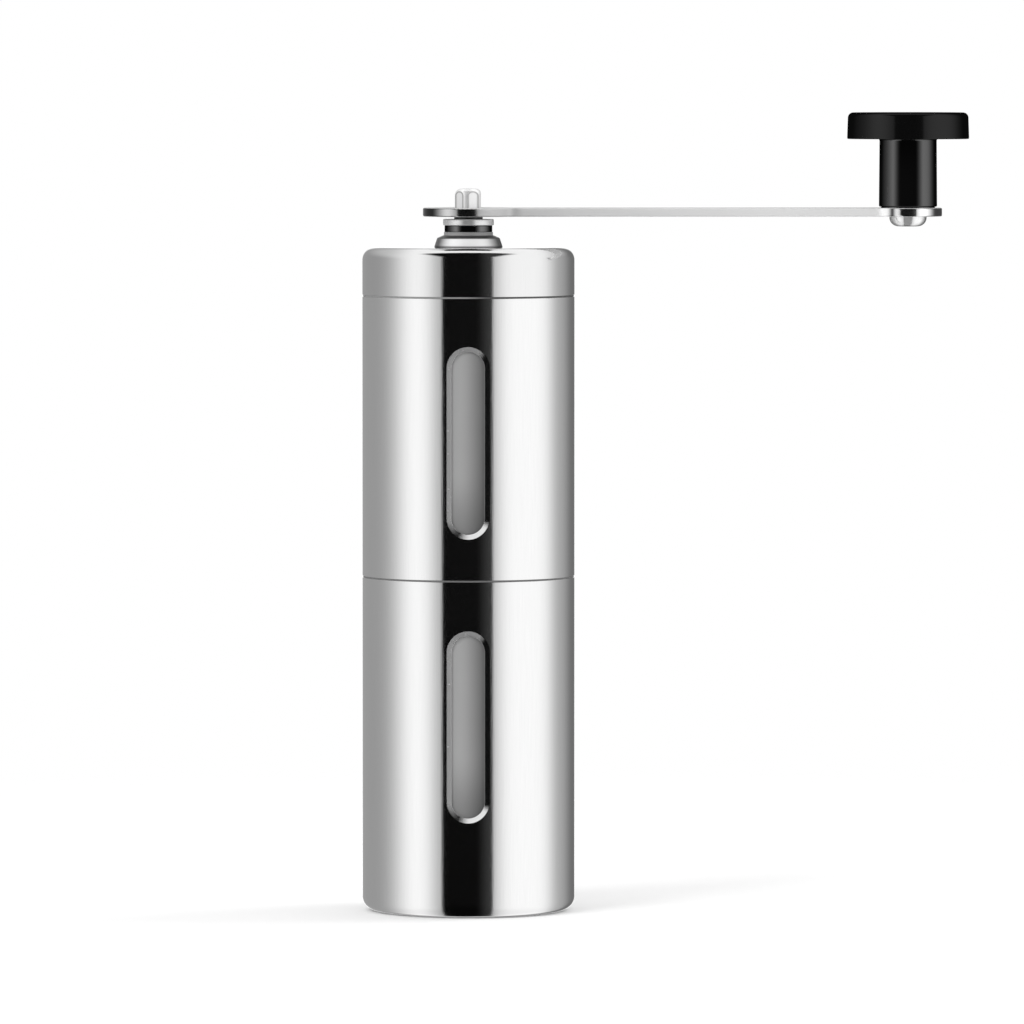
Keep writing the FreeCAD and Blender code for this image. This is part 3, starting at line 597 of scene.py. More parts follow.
@dataclass(frozen=True)
class Gloss(Plastic):
    """Polished black plastic, lacquered up to some height, whose gloss dies where it turns from view.

    The lacquered part also loses its gloss where it faces the viewer.
    """

    lacquer_top: float = 1.0
    lacquer_fade: float = 0.0002
    face_turn: Span = (0.03, 0.16)
    fade_turn: Span = (0.12, 0.6)

    def lacquer(self, tree: Tree) -> Value:
        """Give the weight of the clear coat: full below its top."""
        end = (self.lacquer_top - self.lacquer_fade, self.lacquer_top + self.lacquer_fade)
        return 1.0 - tree.smooth(tree.axis("Z"), *end)

    def write(self, tree: Tree) -> Sock:
        """Write the polished skin over a matt one.

        Args:
            tree: the empty node tree of its material.

        Returns:
            The finished shader.
        """
        polished = super().write(tree)
        matt = tree.node("BsdfDiffuse", {"Color": grey(self.level)})
        graze = tree.graze()
        faced = self.lacquer(tree) * (1.0 - tree.smooth(graze, *self.face_turn))
        faded = tree.math("MAXIMUM", faced, tree.smooth(graze, *self.fade_turn))
        return tree.node("MixShader", {0: faded, 1: polished, 2: matt})


@dataclass(frozen=True)
class Frosted(Finish):
    """Frosted plastic, painted lighter on the left of each window and painted darker at its foot and on the
    right.
    """

    # Painted light on the left, painted shade on the right and at the foot of each window
    light: float = 0.4
    dark: float = 0.13
    painted_dark_side: Span = (-0.002, 0.005)
    painted_foot_shade: float = 0.6
    foot_fade: float = 0.016
    cloud_scale: float = 70.0
    cloud_shade: float = 0.12
    roughness: float = 0.36
    spread: float = 0.08
    grain_scale: float = 2500.0
    grain_depth: float = 0.00002
    grain_strength: float = 0.3
    through: float = 0.2

    def write(self, tree: Tree) -> Sock:
        """Write the frosted skin over a body that lets light through.

        Args:
            tree: the empty node tree of its material.

        Returns:
            The finished shader.
        """
        grain = tree.noise(self.grain_scale, detail=2.0)
        cloud = tree.noise(self.cloud_scale, detail=3.0)
        # Painted light and shade: lighter on the left, darker on the right and towards each window's foot,
        # with a random cloud
        share = tree.smooth(tree.axis("X"), *self.painted_dark_side) + self.cloud_shade * (cloud - 0.5)
        shade = tree.smooth(above_foot(tree), 0.0, self.foot_fade, self.painted_foot_shade, 1.0)
        level = (self.light + (self.dark - self.light) * share) * shade
        skin = tree.node("BsdfPrincipled", {
            "Base Color": tree.mix(level, grey(0.0), grey(1.0)),
            "Roughness": self.roughness + self.spread * (grain - 0.5),
            "Normal": tree.bump(grain, self.grain_depth, self.grain_strength),
        })
        body = tree.node("BsdfTranslucent", {"Color": grey(self.dark)})
        return tree.node("MixShader", {0: self.through, 1: skin, 2: body})


@dataclass(frozen=True)
class Ceramic(Finish):
    """Sintered ceramic with a fine speckle."""

    level: float = 0.8
    warmth: float = 0.03
    speck_scale: float = 3500.0
    speck: Span = (0.35, 0.75)
    speck_shade: float = 0.88
    speck_warmth: float = 0.05
    speck_depth: float = 0.00003
    speck_strength: float = 0.5
    cloud_scale: float = 150.0
    roughness: float = 0.42
    spread: float = 0.2

    def write(self, tree: Tree) -> Sock:
        """Write the speckled matt skin.

        Args:
            tree: the empty node tree of its material.

        Returns:
            The finished shader.
        """
        speck = tree.noise(self.speck_scale, detail=2.0)
        cloud = tree.noise(self.cloud_scale, detail=3.0)
        plain = grey(self.level, self.warmth)
        dark = grey(self.level * self.speck_shade, self.speck_warmth)
        return tree.node("BsdfPrincipled", {
            "Base Color": tree.mix(tree.smooth(speck, *self.speck), plain, dark),
            "Roughness": self.roughness + self.spread * (cloud - 0.5),
            "Normal": tree.bump(speck, self.speck_depth, self.speck_strength),
        })


SHELL_STEEL = Metal("shell_steel", "body_steel", level=0.8, roughness=0.075, spread=0.03)
# The body's steel painted darker on the lid, a painted shade
LID_STEEL_PAINTED_DARKER = Metal("lid_steel", "body_steel", level=0.745, roughness=0.075, spread=0.03)
EDGE_STEEL = SlotMetal("edge_steel", "body_steel", level=0.8, roughness=0.1, spread=0.03,
                       grain=(1.0, 1.0, 1.0))
CRANK_STEEL = BarMetal("crank_steel", "crank_steel", level=0.82, roughness=0.12, grain=(0.02, 1.0, 1.0))
SHAFT_STEEL = ShaftMetal("shaft_steel", "shaft_steel", level=0.9, roughness=0.3, grain=(1.0, 1.0, 6.0))
COLLAR_SATIN = CollarMetal("collar_satin", "collar_chrome", level=0.97, roughness=0.3, blast=0.92)
RING_SATIN = Satin("ring_satin", "collar_chrome", level=0.95, roughness=0.25)
# The pin's chrome takes a painted shade where it turns from view
CHROME = Satin("collar_chrome", "collar_chrome", level=0.92, roughness=0.1, spread=0.03,
               grain=(0.3, 0.3, 2.0), blast=0.35, fade=0.8)
FASTENER = Metal("fastener_steel", "fastener_steel", level=0.6, roughness=0.24, grain=(1.0, 1.0, 1.0))
BRASS = Metal("turned_brass", "bush_brass", level=0.62, warmth=0.28, roughness=0.22, grain=(0.3, 0.3, 3.0))
KNOB_BLACK = Gloss("knob_black", "knob_plastic", level=0.003, roughness=0.13, skin_depth=0.000004, index=1.34,
                   coat_index=1.8, lacquer_top=KNOB_DISC * MM)
MATT_BLACK = Plastic("matt_black", "black_plastic", level=0.02, roughness=0.45)
# The burr carrier's black plastic painted lighter, a painted highlight for the seam between the shells
CARRIER_PAINTED_LIGHT = Plastic("carrier_painted_light", "black_plastic", level=0.16, roughness=0.45)
NYLON = Gloss("black_nylon", "black_nylon", level=0.004, roughness=0.16, coat_index=2.0)
FROST = Frosted("frosted_plastic", "frosted_plastic")
CERAMIC = Ceramic("burr_ceramic", "burr_ceramic")


def shown(name: str, data: bpy.types.ID) -> bpy.types.Object:
    """Make an object and put it into the scene.

    Args:
        name: its name.
        data: its mesh, lamp or camera.

    Returns:
        The object.
    """
    item = bpy.data.objects.new(name, data)
    bpy.context.scene.collection.objects.link(item)
    return item


def vectors(items: bpy.types.bpy_prop_collection, field: str) -> Array:
    """Read one vector of each vertex or face of a mesh.

    Args:
        items: the vertices or faces.
        field: name of the vector.

    Returns:
        The vectors, as rows of x, y and z.
    """
    values = np.empty(len(items) * 3)
    items.foreach_get(field, values)
    return values.reshape(-1, 3)


def even_angles(count: int) -> Array:
    """Spread angles evenly over a full turn."""
    return np.linspace(0, FULL_TURN, count, endpoint=False)


class Solid:
    """A closed mesh gathered as whole arrays, in millimetres."""

    def __init__(self) -> None:
        """Start with nothing."""
        self.points: list[Array] = []
        self.faces: list[list[int]] = []
        self.count = 0

    def add(self, points: Array) -> Array:
        """Add points.

        Args:
            points: any grid of points, the last axis holding x, y, z.

        Returns:
            Their indices, in the shape of the grid.
        """
        flat = points.reshape(-1, 3)
        index = np.arange(self.count, self.count + len(flat)).reshape(points.shape[:-1])
        self.points.append(flat)
        self.count += len(flat)
        return index

    def quads(self, index: Array, skip: Optional[Array] = None) -> None:
        """Join a grid of points with quads, apart from cells to skip."""
        cells = np.stack((index[:-1, :-1], index[1:, :-1], index[1:, 1:], index[:-1, 1:]), axis=-1)
        self.faces += (cells.reshape(-1, 4) if skip is None else cells[~skip]).tolist()

    def close(self, rim: Array, tip: Sequence[float]) -> None:
        """Close a round rim with triangles to one new point.

        Args:
            rim: indices round the rim.
            tip: the point.
        """
        point = int(self.add(np.array(tip)))
        corners = np.stack((rim, np.roll(rim, -1), np.full(len(rim), point)), axis=-1)
        self.faces += corners.tolist()

    def piece(self, name: str, finish: Finish, body: Optional[Body], nodes: Iterable[str],
              wall: Optional[tuple[float, float, float]] = None) -> bpy.types.Object:
        """Make the object and let it stand for some solids.

        Args:
            name: name of the object.
            finish: its surface.
            body: the rigid body that it rides on, or none to leave it unattached.
            nodes: the solids that it stands for.
            wall: radius, foot and top of a straight round wall that is shaded as a true cylinder.

        Returns:
            The object.
        """
        mesh = bpy.data.meshes.new(name)
        mesh.from_pydata((np.concatenate(self.points) * MM).tolist(), [], self.faces)
        work = bmesh.new()
        work.from_mesh(mesh)
        bmesh.ops.remove_doubles(work, verts=work.verts, dist=SAME_POINT)
        bmesh.ops.recalc_face_normals(work, faces=work.faces)
        work.to_mesh(mesh)
        work.free()
        mesh.polygons.foreach_set("use_smooth", np.ones(len(mesh.polygons), dtype=bool))
        mesh.materials.append(finish.material())
        if wall is not None:
            self.true_wall(mesh, *wall)
        item = shown(name, mesh)
        if body is not None:
            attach(item, body.value)
        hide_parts(*nodes)
        LOG.info("%s: %d faces, %s", name, len(mesh.polygons), finish.name)
        return item

    @staticmethod
    def true_wall(mesh: bpy.types.Mesh, radius: float, foot: float, top: float) -> None:
        """Shade the straight outer wall of a mesh with the normals of a true cylinder.

        Args:
            mesh: the mesh.
            radius: radius of the wall, in millimetres.
            foot: where the wall begins.
            top: where it ends.
        """
        spots = vectors(mesh.vertices, "co") / MM
        normals = vectors(mesh.vertices, "normal")
        reach = np.hypot(spots[:, 0], spots[:, 1])
        level = spots[:, 2]
        on_wall = (np.abs(reach - radius) < ON_WALL) & (level > foot - ON_WALL) & (level < top + ON_WALL)
        normals[on_wall, :2] = spots[on_wall, :2] / reach[on_wall, None]
        normals[on_wall, 2] = 0.0
        mesh.normals_split_custom_set_from_vertices(normals.tolist())


def rounded(corners: Sequence[Corner], closed: bool, steps: int) -> Array:
    """Round the corners of an outline.

    Each corner becomes an arc, with one more point on the straight to either side that keeps the shading of
    the straight flat.

    Args:
        corners: radius, height and rounding of each corner.
        closed: whether the last corner joins the first.
        steps: segments in each arc.

    Returns:
        The outline as rows of radius and height.
    """
    spots = np.array([corner[:2] for corner in corners], dtype=float)
    rows: list[Array] = []
    for index, (_, _, size) in enumerate(corners):
        spot = spots[index]
        at_end = not closed and index in (0, len(corners) - 1)
        if size <= 0 or at_end:
            rows.append(spot)
            continue
        back = spots[index - 1] - spot
        ahead = spots[(index + 1) % len(spots)] - spot
        room = min(np.linalg.norm(back), np.linalg.norm(ahead))
        back /= np.linalg.norm(back)
        ahead /= np.linalg.norm(ahead)
        half = math.acos(float(np.clip(back @ ahead, -1, 1))) / 2
        reach = min(size / math.tan(half), ARC_SHARE * room)
        radius = reach * math.tan(half)
        middle = spot + (back + ahead) / np.linalg.norm(back + ahead) * radius / math.sin(half)
        start = spot + back * reach - middle
        end = spot + ahead * reach - middle
        sweep = math.pi - 2 * half
        guard = min(reach * GUARD_REACH + GUARD_GAP, GUARD_SHARE * room)
        rows.append(spot + back * guard)
        for step in range(steps + 1):
            share = step / steps
            arm = (math.sin((1 - share) * sweep) * start + math.sin(share * sweep) * end) / math.sin(sweep)
            rows.append(middle + arm)
        rows.append(spot + ahead * guard)
    return np.array(rows)


def spun(outline: Array, angles: Array, centre: float = 0.0) -> Array:
    """Spin an outline about an upright axis.

    x = centre + r sin a, y = -r cos a, so that angle 0 faces the front.

    Args:
        outline: rows of radius and height.
        angles: angles in radians.
        centre: x of the axis.

    Returns:
        A grid of points, outline by angle.
    """
    radius = outline[:, :1]
    height = np.repeat(outline[:, 1:], len(angles), axis=1)
    return np.stack((centre + radius * np.sin(angles), -radius * np.cos(angles), height), axis=-1)


def wrapped(index: Array, rows: bool = False) -> Array:
    """Repeat the first column of a grid, and the first row if asked, at the end."""
    wide = np.concatenate((index, index[:, :1]), axis=1)
    return np.concatenate((wide, wide[:1]), axis=0) if rows else wide


@dataclass
class Turned:
    """A turned piece: an outline of radius and height spun about an upright axis."""

    corners: Sequence[Corner]
    centre: float = 0.0
    segments: int = 160
    steps: int = 8

    def solid(self) -> Solid:
        """Spin the outline.

        Returns:
            The closed surface. An outline that starts and ends on the axis is closed there.
        """
        solid = Solid()
        closed = self.corners[0][0] > 0
        outline = rounded(self.corners, closed, self.steps)
        rows = outline if closed else outline[1:-1]
        index = solid.add(spun(rows, even_angles(self.segments), self.centre))
        solid.quads(wrapped(index, rows=closed))
        if not closed:
            for end in (0, -1):
                solid.close(index[end], (self.centre, 0.0, outline[end, 1]))
        return solid


@dataclass(frozen=True)
class Slot:
    """A round-ended upright window with an edge that slopes inwards."""

    level: float
    width: float = WINDOW_WIDTH
    length: float = WINDOW_LENGTH
    slope: float = 1.1
    depth: float = 0.36
    margin: float = 2.4
    # Rows that round the corners of the slope and of the lip at its inner end
    apron: float = 0.14
    softness: float = 0.06
    crest: float = 0.01
    crest_drop: float = 0.002
    lip: float = 0.015
    lip_row: float = 0.02
    back_edge: float = 0.03

    def floor(self, outer: float, offset: float) -> float:
        """Give the radius of the slope at a distance inside the outline of the slot."""
        return outer - self.depth * offset / self.slope

    def edge(self, x: Array, z: Array, offset: float) -> tuple[Array, Array]:
        """Find the matching points on the slot's outline.

        Beside the straight sides a point moves sideways; past the ends it moves towards the end's centre.

        Args:
            x: sideways places round the slot.
            z: heights round the slot.
            offset: how far inside the outer outline to go.

        Returns:
            The places on the outline.
        """
        radius = self.width / 2 - offset
        reach = (self.length - self.width) / 2
        end = np.clip(z - self.level, -reach, reach) + self.level
        angle = np.arctan2(z - end, x)
        return radius * np.cos(angle), end + radius * np.sin(angle)

    def section(self, outer: float, bore: float) -> list[Span]:
        """Give the section of the window's edge, from the outer wall over the slope to the inner wall.

        Rows a few hundredths of a millimetre apart round its corners.

        Args:
            outer: radius of the outer wall.
            bore: radius of the inner wall.

        Returns:
            How far each row lies inside the slot's outline, and its radius.
        """
        lip = self.slope - self.lip
        corner = [
            (-self.apron, outer),
            (-self.softness, outer - self.crest_drop),
            (self.crest, self.floor(outer, self.softness)),
        ]
        offsets = (2 * self.softness, 4 * self.softness, self.slope / 2, lip - self.lip_row, lip)
        slope = [(offset, self.floor(outer, offset)) for offset in offsets]
        back = [
            (self.slope, self.floor(outer, self.slope + self.softness)),
            (self.slope, bore + self.back_edge),
            (self.slope - self.back_edge, bore),
        ]
        return corner + slope + back


@dataclass
class WindowedShell:
    """A steel tube, with or without a bottom, that has one window slot at the front."""

    low: float
    high: float
    slot: Slot
    corner: float = 0.0
    outer: float = BODY_RADIUS
    bore: float = BODY_BORE
    rim: float = STEEL_RIM
    rows: int = 13
    front_columns: int = 33
    back_columns: int = 170
    steps: int = 10
    outer_rings: tuple[float, ...] = (0.4, 0.75, 0.94)
    inner_rings: tuple[float, ...] = (0.1, 0.5)

    def heights(self) -> Array:
        """Heights of the grid beside the window, close together round its ends.

        Returns:
            The heights, rising.
        """
        slot = self.slot
        straight = (slot.length - slot.width) / 2
        full = slot.length / 2 + slot.margin
        ends = np.linspace(straight, full, self.rows)
        middle = np.linspace(-straight, straight, self.rows)[1:-1]
        return slot.level + np.concatenate((-ends[::-1], middle, ends))

    def outline(self, heights: Array) -> tuple[list[Corner], bool]:
        """The wall's section.

        Args:
            heights: grid heights beside the window.

        Returns:
            The corners and whether they close on themselves.
        """
        wall = self.outer - self.bore
        outside = [(self.outer, z, 0.0) for z in heights]
        inside = [(self.bore, z, 0.0) for z in heights[::-1]]
        top = [(self.outer, self.high, self.rim), (self.bore, self.high, self.rim)]
        if self.corner:
            start = [(0.0, self.low, 0.0), (self.outer, self.low, self.corner)]
            end = [(self.bore, self.low + wall, self.corner - wall), (0.0, self.low + wall, 0.0)]
            return start + outside + top + inside + end, False
        start = [(self.bore, self.low, self.rim), (self.outer, self.low, self.rim)]
        return start + outside + top + inside, True

    def solid(self) -> Solid:
        """Spin the wall and work the window into it.

        Returns:
            The closed surface.
        """
        heights = self.heights()
        corners, closed = self.outline(heights)
        outline = rounded(corners, closed, self.steps)
        rows = outline if closed else outline[1:-1]
        half = math.asin((self.slot.width / 2 + self.slot.margin) / self.outer)
        front = np.linspace(-half, half, self.front_columns)
        behind = np.linspace(half, FULL_TURN - half, self.back_columns)[1:-1]
        solid = Solid()
        index = solid.add(spun(rows, np.concatenate((front, behind))))

        def rows_at(radius: float) -> Array:
            """Find the row of the section that is nearest to each grid height at one radius."""
            return np.hypot(rows[:, :1] - radius, rows[:, 1:] - heights).argmin(axis=0)

        outside = rows_at(self.outer)
        inside = rows_at(self.bore)
        grid = wrapped(index, rows=closed)
        skip = np.zeros((grid.shape[0] - 1, grid.shape[1] - 1), dtype=bool)
        skip[outside[0]:outside[-1], :len(front) - 1] = True
        skip[inside[-1]:inside[0], :len(front) - 1] = True
        solid.quads(grid, skip)
        if not closed:
            for end in (0, -1):
                solid.close(index[end], (0.0, 0.0, outline[end, 1]))
        self.window(solid, index, outside, inside, front, heights)
        return solid

    def window(self, solid: Solid, index: Array, outside: Array, inside: Array, front: Array,
               heights: Array) -> None:
        """Join the outer and inner walls through the window's edge.

        Rings of points run round the slot: over the outer wall to the slot's outline, down the slope, through
        the wall and back over the inner wall.

        Args:
            solid: the surface to add to.
            index: the wall's grid of indices.
            outside: grid rows of the outer wall beside the window.
            inside: grid rows of the inner wall beside the window.
            front: angles of the grid columns beside the window.
            heights: heights of those rows.
        """
        wide, tall = len(front) - 1, len(heights) - 1
        across, back = np.arange(wide), np.arange(wide, 0, -1)
        up, down = np.arange(tall), np.arange(tall, 0, -1)
        columns = np.concatenate((across, np.full(tall, wide), back, np.zeros(tall, int)))
        levels = np.concatenate((np.zeros(wide, int), up, np.full(wide, tall), down))
        slot = self.slot
        x = self.outer * np.sin(front[columns])
        z = heights[levels]

        def ring(ring_x: Array, ring_z: Array, radius: float) -> Array:
            """Add a ring of points at one radius from the axis."""
            return solid.add(np.stack((ring_x, -np.sqrt(radius ** 2 - ring_x ** 2), ring_z), axis=-1))

        rings = [index[outside[levels], columns]]
        near_x, near_z = slot.edge(x, z, -slot.apron)
        for share in self.outer_rings:
            rings.append(ring(x + (near_x - x) * share, z + (near_z - z) * share, self.outer))
        for offset, radius in slot.section(self.outer, self.bore):
            rings.append(ring(*slot.edge(x, z, offset), radius))
        far_x = self.bore * np.sin(front[columns])
        near_x, near_z = slot.edge(x, z, slot.slope - slot.back_edge)
        for share in self.inner_rings:
            rings.append(ring(near_x + (far_x - near_x) * share, near_z + (z - near_z) * share, self.bore))
        rings.append(index[inside[levels], columns])
        solid.quads(wrapped(np.stack(rings)))


@dataclass
class Shells:
    """The steel can, sleeve and lid, and the frosted liners behind the windows."""

    radius: float = BODY_RADIUS
    bore: float = BODY_BORE
    rim: float = STEEL_RIM
    corner: float = 3.0
    can_top: float = 76.9
    sleeve_low: float = 77.25
    sleeve_top: float = 141.65
    lid_low: float = 142.0
    lid_top: float = LID_TOP
    lid_hole: float = 5.25
    edge_drop: float = 0.015
    edge_back: float = 0.01
    liner: float = 23.65
    liner_bore: float = 22.45
    cup_floor: float = 1.2
    cup_bevel: float = 2.3
    cup_bevel_top: float = 3.0
    cup_gap: float = 0.4
    hopper_low: float = 85.9
    flange_gap: float = 0.2

    def windowed(self, name: str, shell: WindowedShell, body: Body, node: str) -> None:
        """Make a shell and give the sloped edge of its window its own, less polished finish with painted
        light.

        Args:
            name: name of the piece.
            shell: its shape.
            body: the rigid body that it rides on.
            node: the solid that it stands for.
        """
        wall = (self.radius, shell.low + (shell.corner or shell.rim), shell.high - shell.rim)
        mesh = shell.solid().piece(name, SHELL_STEEL, body, [node], wall).data
        mesh.materials.append(EDGE_STEEL.material())
        slot = shell.slot
        x, y, z = vectors(mesh.polygons, "center").T / MM
        reach = np.hypot(x, y)
        sloped = (y < 0) & (reach < self.radius - self.edge_drop) & (reach > self.bore + self.edge_back)
        sloped &= (np.abs(x) < slot.width / 2) & (np.abs(z - slot.level) < slot.length / 2)
        mesh.polygons.foreach_set("material_index", sloped.astype(np.int32))

    def steel(self) -> None:
        """Make the can, the sleeve and the lid."""
        can = WindowedShell(0.0, self.can_top, Slot(CAN_WINDOW), self.corner)
        self.windowed("can_steel", can, Body.BIN, "lower_can")
        sleeve = WindowedShell(self.sleeve_low, self.sleeve_top, Slot(SLEEVE_WINDOW))
        self.windowed("sleeve_steel", sleeve, Body.UPPER, "upper_sleeve")
        wall = self.radius - self.bore
        lid = Turned([
            (self.bore, self.lid_low, self.rim),
            (self.radius, self.lid_low, self.rim),
            (self.radius, self.lid_top, self.corner),
            (self.lid_hole, self.lid_top, 0.1),
            (self.lid_hole, self.lid_top - wall, 0.1),
            (self.bore, self.lid_top - wall, self.corner - wall),
        ], segments=240, steps=14)
        lid.solid().piece("lid_steel", LID_STEEL_PAINTED_DARKER, Body.LID, ["lid_shell"],
                          (self.radius, self.lid_low + self.rim, self.lid_top - self.corner))

    def liners(self) -> None:
        """Make the frosted cup and hopper."""
        low = self.radius - self.bore
        floor = low + self.cup_floor
        top = self.can_top - self.cup_gap
        cup = Turned([
            (0.0, low, 0.0),
            (self.liner - self.cup_bevel, low, 1.2),
            (self.liner, self.cup_bevel_top, 1.2),
            (self.liner, top, 0.25),
            (self.liner_bore, top, 0.25),
            (self.liner_bore, self.cup_bevel_top, 1.0),
            (self.liner_bore - self.cup_bevel, floor, 1.0),
            (0.0, floor, 0.0),
        ])
        cup.solid().piece("cup_frosted", FROST, Body.BIN, ["grounds_cup"])
        flange = self.radius - self.flange_gap
        hopper = Turned([
            (self.liner_bore, self.hopper_low, 0.2),
            (self.liner, self.hopper_low, 0.2),
            (self.liner, self.sleeve_top, 0.05),
            (flange, self.sleeve_top, 0.08),
            (flange, self.lid_low, 0.08),
            (self.liner_bore, self.lid_low, 0.3),
        ])
        hopper.solid().piece("hopper_frosted", FROST, Body.UPPER, ["hopper_liner"])

    def build(self) -> None:
        """Make the shells and liners."""
        self.steel()
        self.liners()


@dataclass
class Collar:
    """The bright domed collar on the lid with its black bearing ring and the thrust ring above.

    Heights are above the lid's top.
    """

    lid_top: float = LID_TOP
    bore: float = 3.4
    shank: float = 5.1
    shank_low: float = -5.2
    foot: float = 7.9
    wall: float = 7.2
    wall_top: float = 2.05
    neck: float = 5.65
    neck_low: float = 2.7
    neck_top: float = 3.45
    post: float = 4.4
    post_top: float = 4.85
    ring: float = 5.5
    ring_bore: float = 4.45
    ring_top: float = 4.9
    thrust: float = 5.85
    thrust_low: float = 4.95
    thrust_top: float = 6.4
    segments: int = 96

    def turned(self, corners: Sequence[Corner]) -> Solid:
        """Turn an outline whose heights are above the lid's top."""
        raised = [(radius, self.lid_top + height, size) for radius, height, size in corners]
        return Turned(raised, segments=self.segments).solid()

    def build(self) -> None:
        """Make the three turned pieces."""
        bush = self.turned([
            (self.bore, self.shank_low, 0.15),
            (self.shank, self.shank_low, 0.3),
            (self.shank, 0.0, 0.03),
            (self.foot, 0.0, 0.08),
            (self.wall, self.wall_top, 0.5),
            (self.neck, self.neck_low, 0.12),
            (self.neck, self.neck_top, 0.12),
            (self.post, self.neck_top, 0.05),
            (self.post, self.post_top, 0.1),
            (self.bore, self.post_top, 0.1),
        ])
        bush.piece("collar_bright", COLLAR_SATIN, Body.LID, ["lid_bush"])
        bearing = self.turned([
            (self.ring_bore, self.neck_top, 0.05),
            (self.ring, self.neck_top, 0.12),
            (self.ring, self.ring_top, 0.12),
            (self.ring_bore, self.ring_top, 0.05),
        ])
        bearing.piece("collar_black_ring", NYLON, Body.LID, ["bearing_ring"])
        thrust = self.turned([
            (self.bore, self.thrust_low, 0.1),
            (self.thrust, self.thrust_low, 0.22),
            (self.thrust, self.thrust_top, 0.22),
            (self.bore, self.thrust_top, 0.1),
        ])
        thrust.piece("collar_top_ring", RING_SATIN, Body.RING, ["thrust_ring"])


@dataclass
class Shaft:
    """The drive shaft: thread, two flats, round journal and five-sided head as one formula surface."""

    low: float = 53.55
    thread_top: float = 62.6
    flats_top: float = 87.9
    groove_low: float = 99.725
    groove_high: float = 100.475
    groove_depth: float = 0.6
    head_low: float = 160.05
    high: float = 166.5
    radius: float = 3.3
    thread_radius: float = 2.45
    thread_pitch: float = 0.8
    thread_depth: float = 0.4
    thread_point: float = 0.5
    flat: float = 2.5
    facets: int = 5
    facet: float = 2.75
    head_radius: float = 3.12
    head_turn: float = 23.0
    dome: float = 1.7
    tip: float = 1.5
    neck: float = 1.3
    # Painted shade: a painted shadow on the neck under the head, and painted dark lines where the flats meet
    # the dome
    painted_neck_shadow: float = 1.55
    neck_fade: float = 0.1
    line_drop: float = 0.1
    line_width: float = 0.09
    # Rows and columns of the grid, and the angle in degrees from which an edge is shaded sharp
    step: float = 0.012
    thread_row: float = 0.1
    flat_row: float = 0.3
    groove_row: float = 0.2
    neck_row: float = 0.25
    head_row: float = 0.2
    dome_rows: int = 24
    columns: int = 240
    split: float = 24.0

    def head(self, z: Array, angle: Array) -> tuple[Array, Array]:
        """Radius of the domed bar at the head, and of the flats that are milled on it.

        The dome is a quarter of an ellipse, and a flat at distance d is d / cos of the angle to its middle.

        Args:
            z: heights.
            angle: angles.

        Returns:
            The radius of the dome and that of the flats.
        """
        part = FULL_TURN / self.facets
        turn = (angle - math.radians(self.head_turn)) % part
        off = np.minimum(turn, part - turn)
        share = np.clip((z - self.high + self.dome) / self.dome, 0.0, 1.0)
        return self.tip + (self.head_radius - self.tip) * np.sqrt(1.0 - share ** 2), self.facet / np.cos(off)

    def mark(self, mesh: bpy.types.Mesh) -> None:
        """Mark painted shade: a painted dark line round each flat of the head, and a painted shadow on the
        neck under it.

        The outline is where the flat lies about a tenth of a millimetre under the dome.

        Args:
            mesh: the shaft's mesh.
        """
        x, y, z = vectors(mesh.vertices, "co").T / MM
        dome, flat = self.head(z, np.arctan2(x, -y))
        # Painted dark lines round the flats, and a painted shadow on the neck under the head
        line = np.exp(-((dome - flat - self.line_drop) / self.line_width) ** 2)
        below = np.where(z > self.head_low - self.neck + self.neck_fade, self.painted_neck_shadow, 0.0)
        marks = np.where(z > self.head_low - self.step / 2, line, below)
        layer = mesh.attributes.new(SHAFT_STEEL.mark, "FLOAT", "POINT")
        layer.data.foreach_set("value", marks.astype(np.float32))

    def section(self, z: Array, angle: Array) -> Array:
        """Radius of the shaft at each height and angle.

        A flat at distance d from the axis limits the radius to d / cos of the angle to its middle. The thread
        is a ridge that climbs one pitch a turn, cut to a cone at its end.

        Args:
            z: heights, as a column.
            angle: angles, as a row.

        Returns:
            The grid of radii.
        """
        radius = np.full(np.broadcast_shapes(z.shape, angle.shape), self.radius)
        flat = self.flat / np.maximum(np.abs(np.cos(angle)), self.flat / self.radius)
        radius = np.where((z >= self.thread_top) & (z <= self.flats_top), flat, radius)
        groove = (z >= self.groove_low) & (z <= self.groove_high)
        radius = np.where(groove, self.radius - self.groove_depth, radius)
        radius = np.where(z >= self.head_low, np.minimum(*self.head(z, angle)), radius)
        phase = (z / self.thread_pitch + angle / FULL_TURN) % 1.0
        thread = self.thread_radius - self.thread_depth * np.abs(2 * phase - 1)
        point = self.thread_radius - self.thread_point + (z - self.low)
        return np.where(z < self.thread_top, np.minimum(thread, point), radius)

    def heights(self) -> Array:
        """Heights of the grid, close together at each step of the shaft.

        Returns:
            The heights, rising.
        """
        dome_low = self.high - self.dome
        steps = [
            self.thread_top,
            self.thread_top + self.flat_row,
            self.flats_top - self.flat_row,
            self.flats_top,
            self.flats_top + self.step,
            self.flats_top + self.flat_row,
            self.groove_low - self.groove_row,
            self.groove_low - self.step,
            self.groove_low,
            self.groove_high,
            self.groove_high + self.step,
            self.groove_high + self.groove_row,
            self.head_low - self.neck,
            self.head_low - self.neck / 2,
            self.head_low - self.neck_row,
            self.head_low - self.step,
            self.head_low,
            self.head_low + self.head_row,
            dome_low - self.head_row,
        ]
        thread = np.arange(self.low, self.thread_top - self.step, self.thread_row)
        dome = dome_low + self.dome * np.sin(np.linspace(0, math.pi / 2, self.dome_rows))
        return np.concatenate((thread, steps, dome))

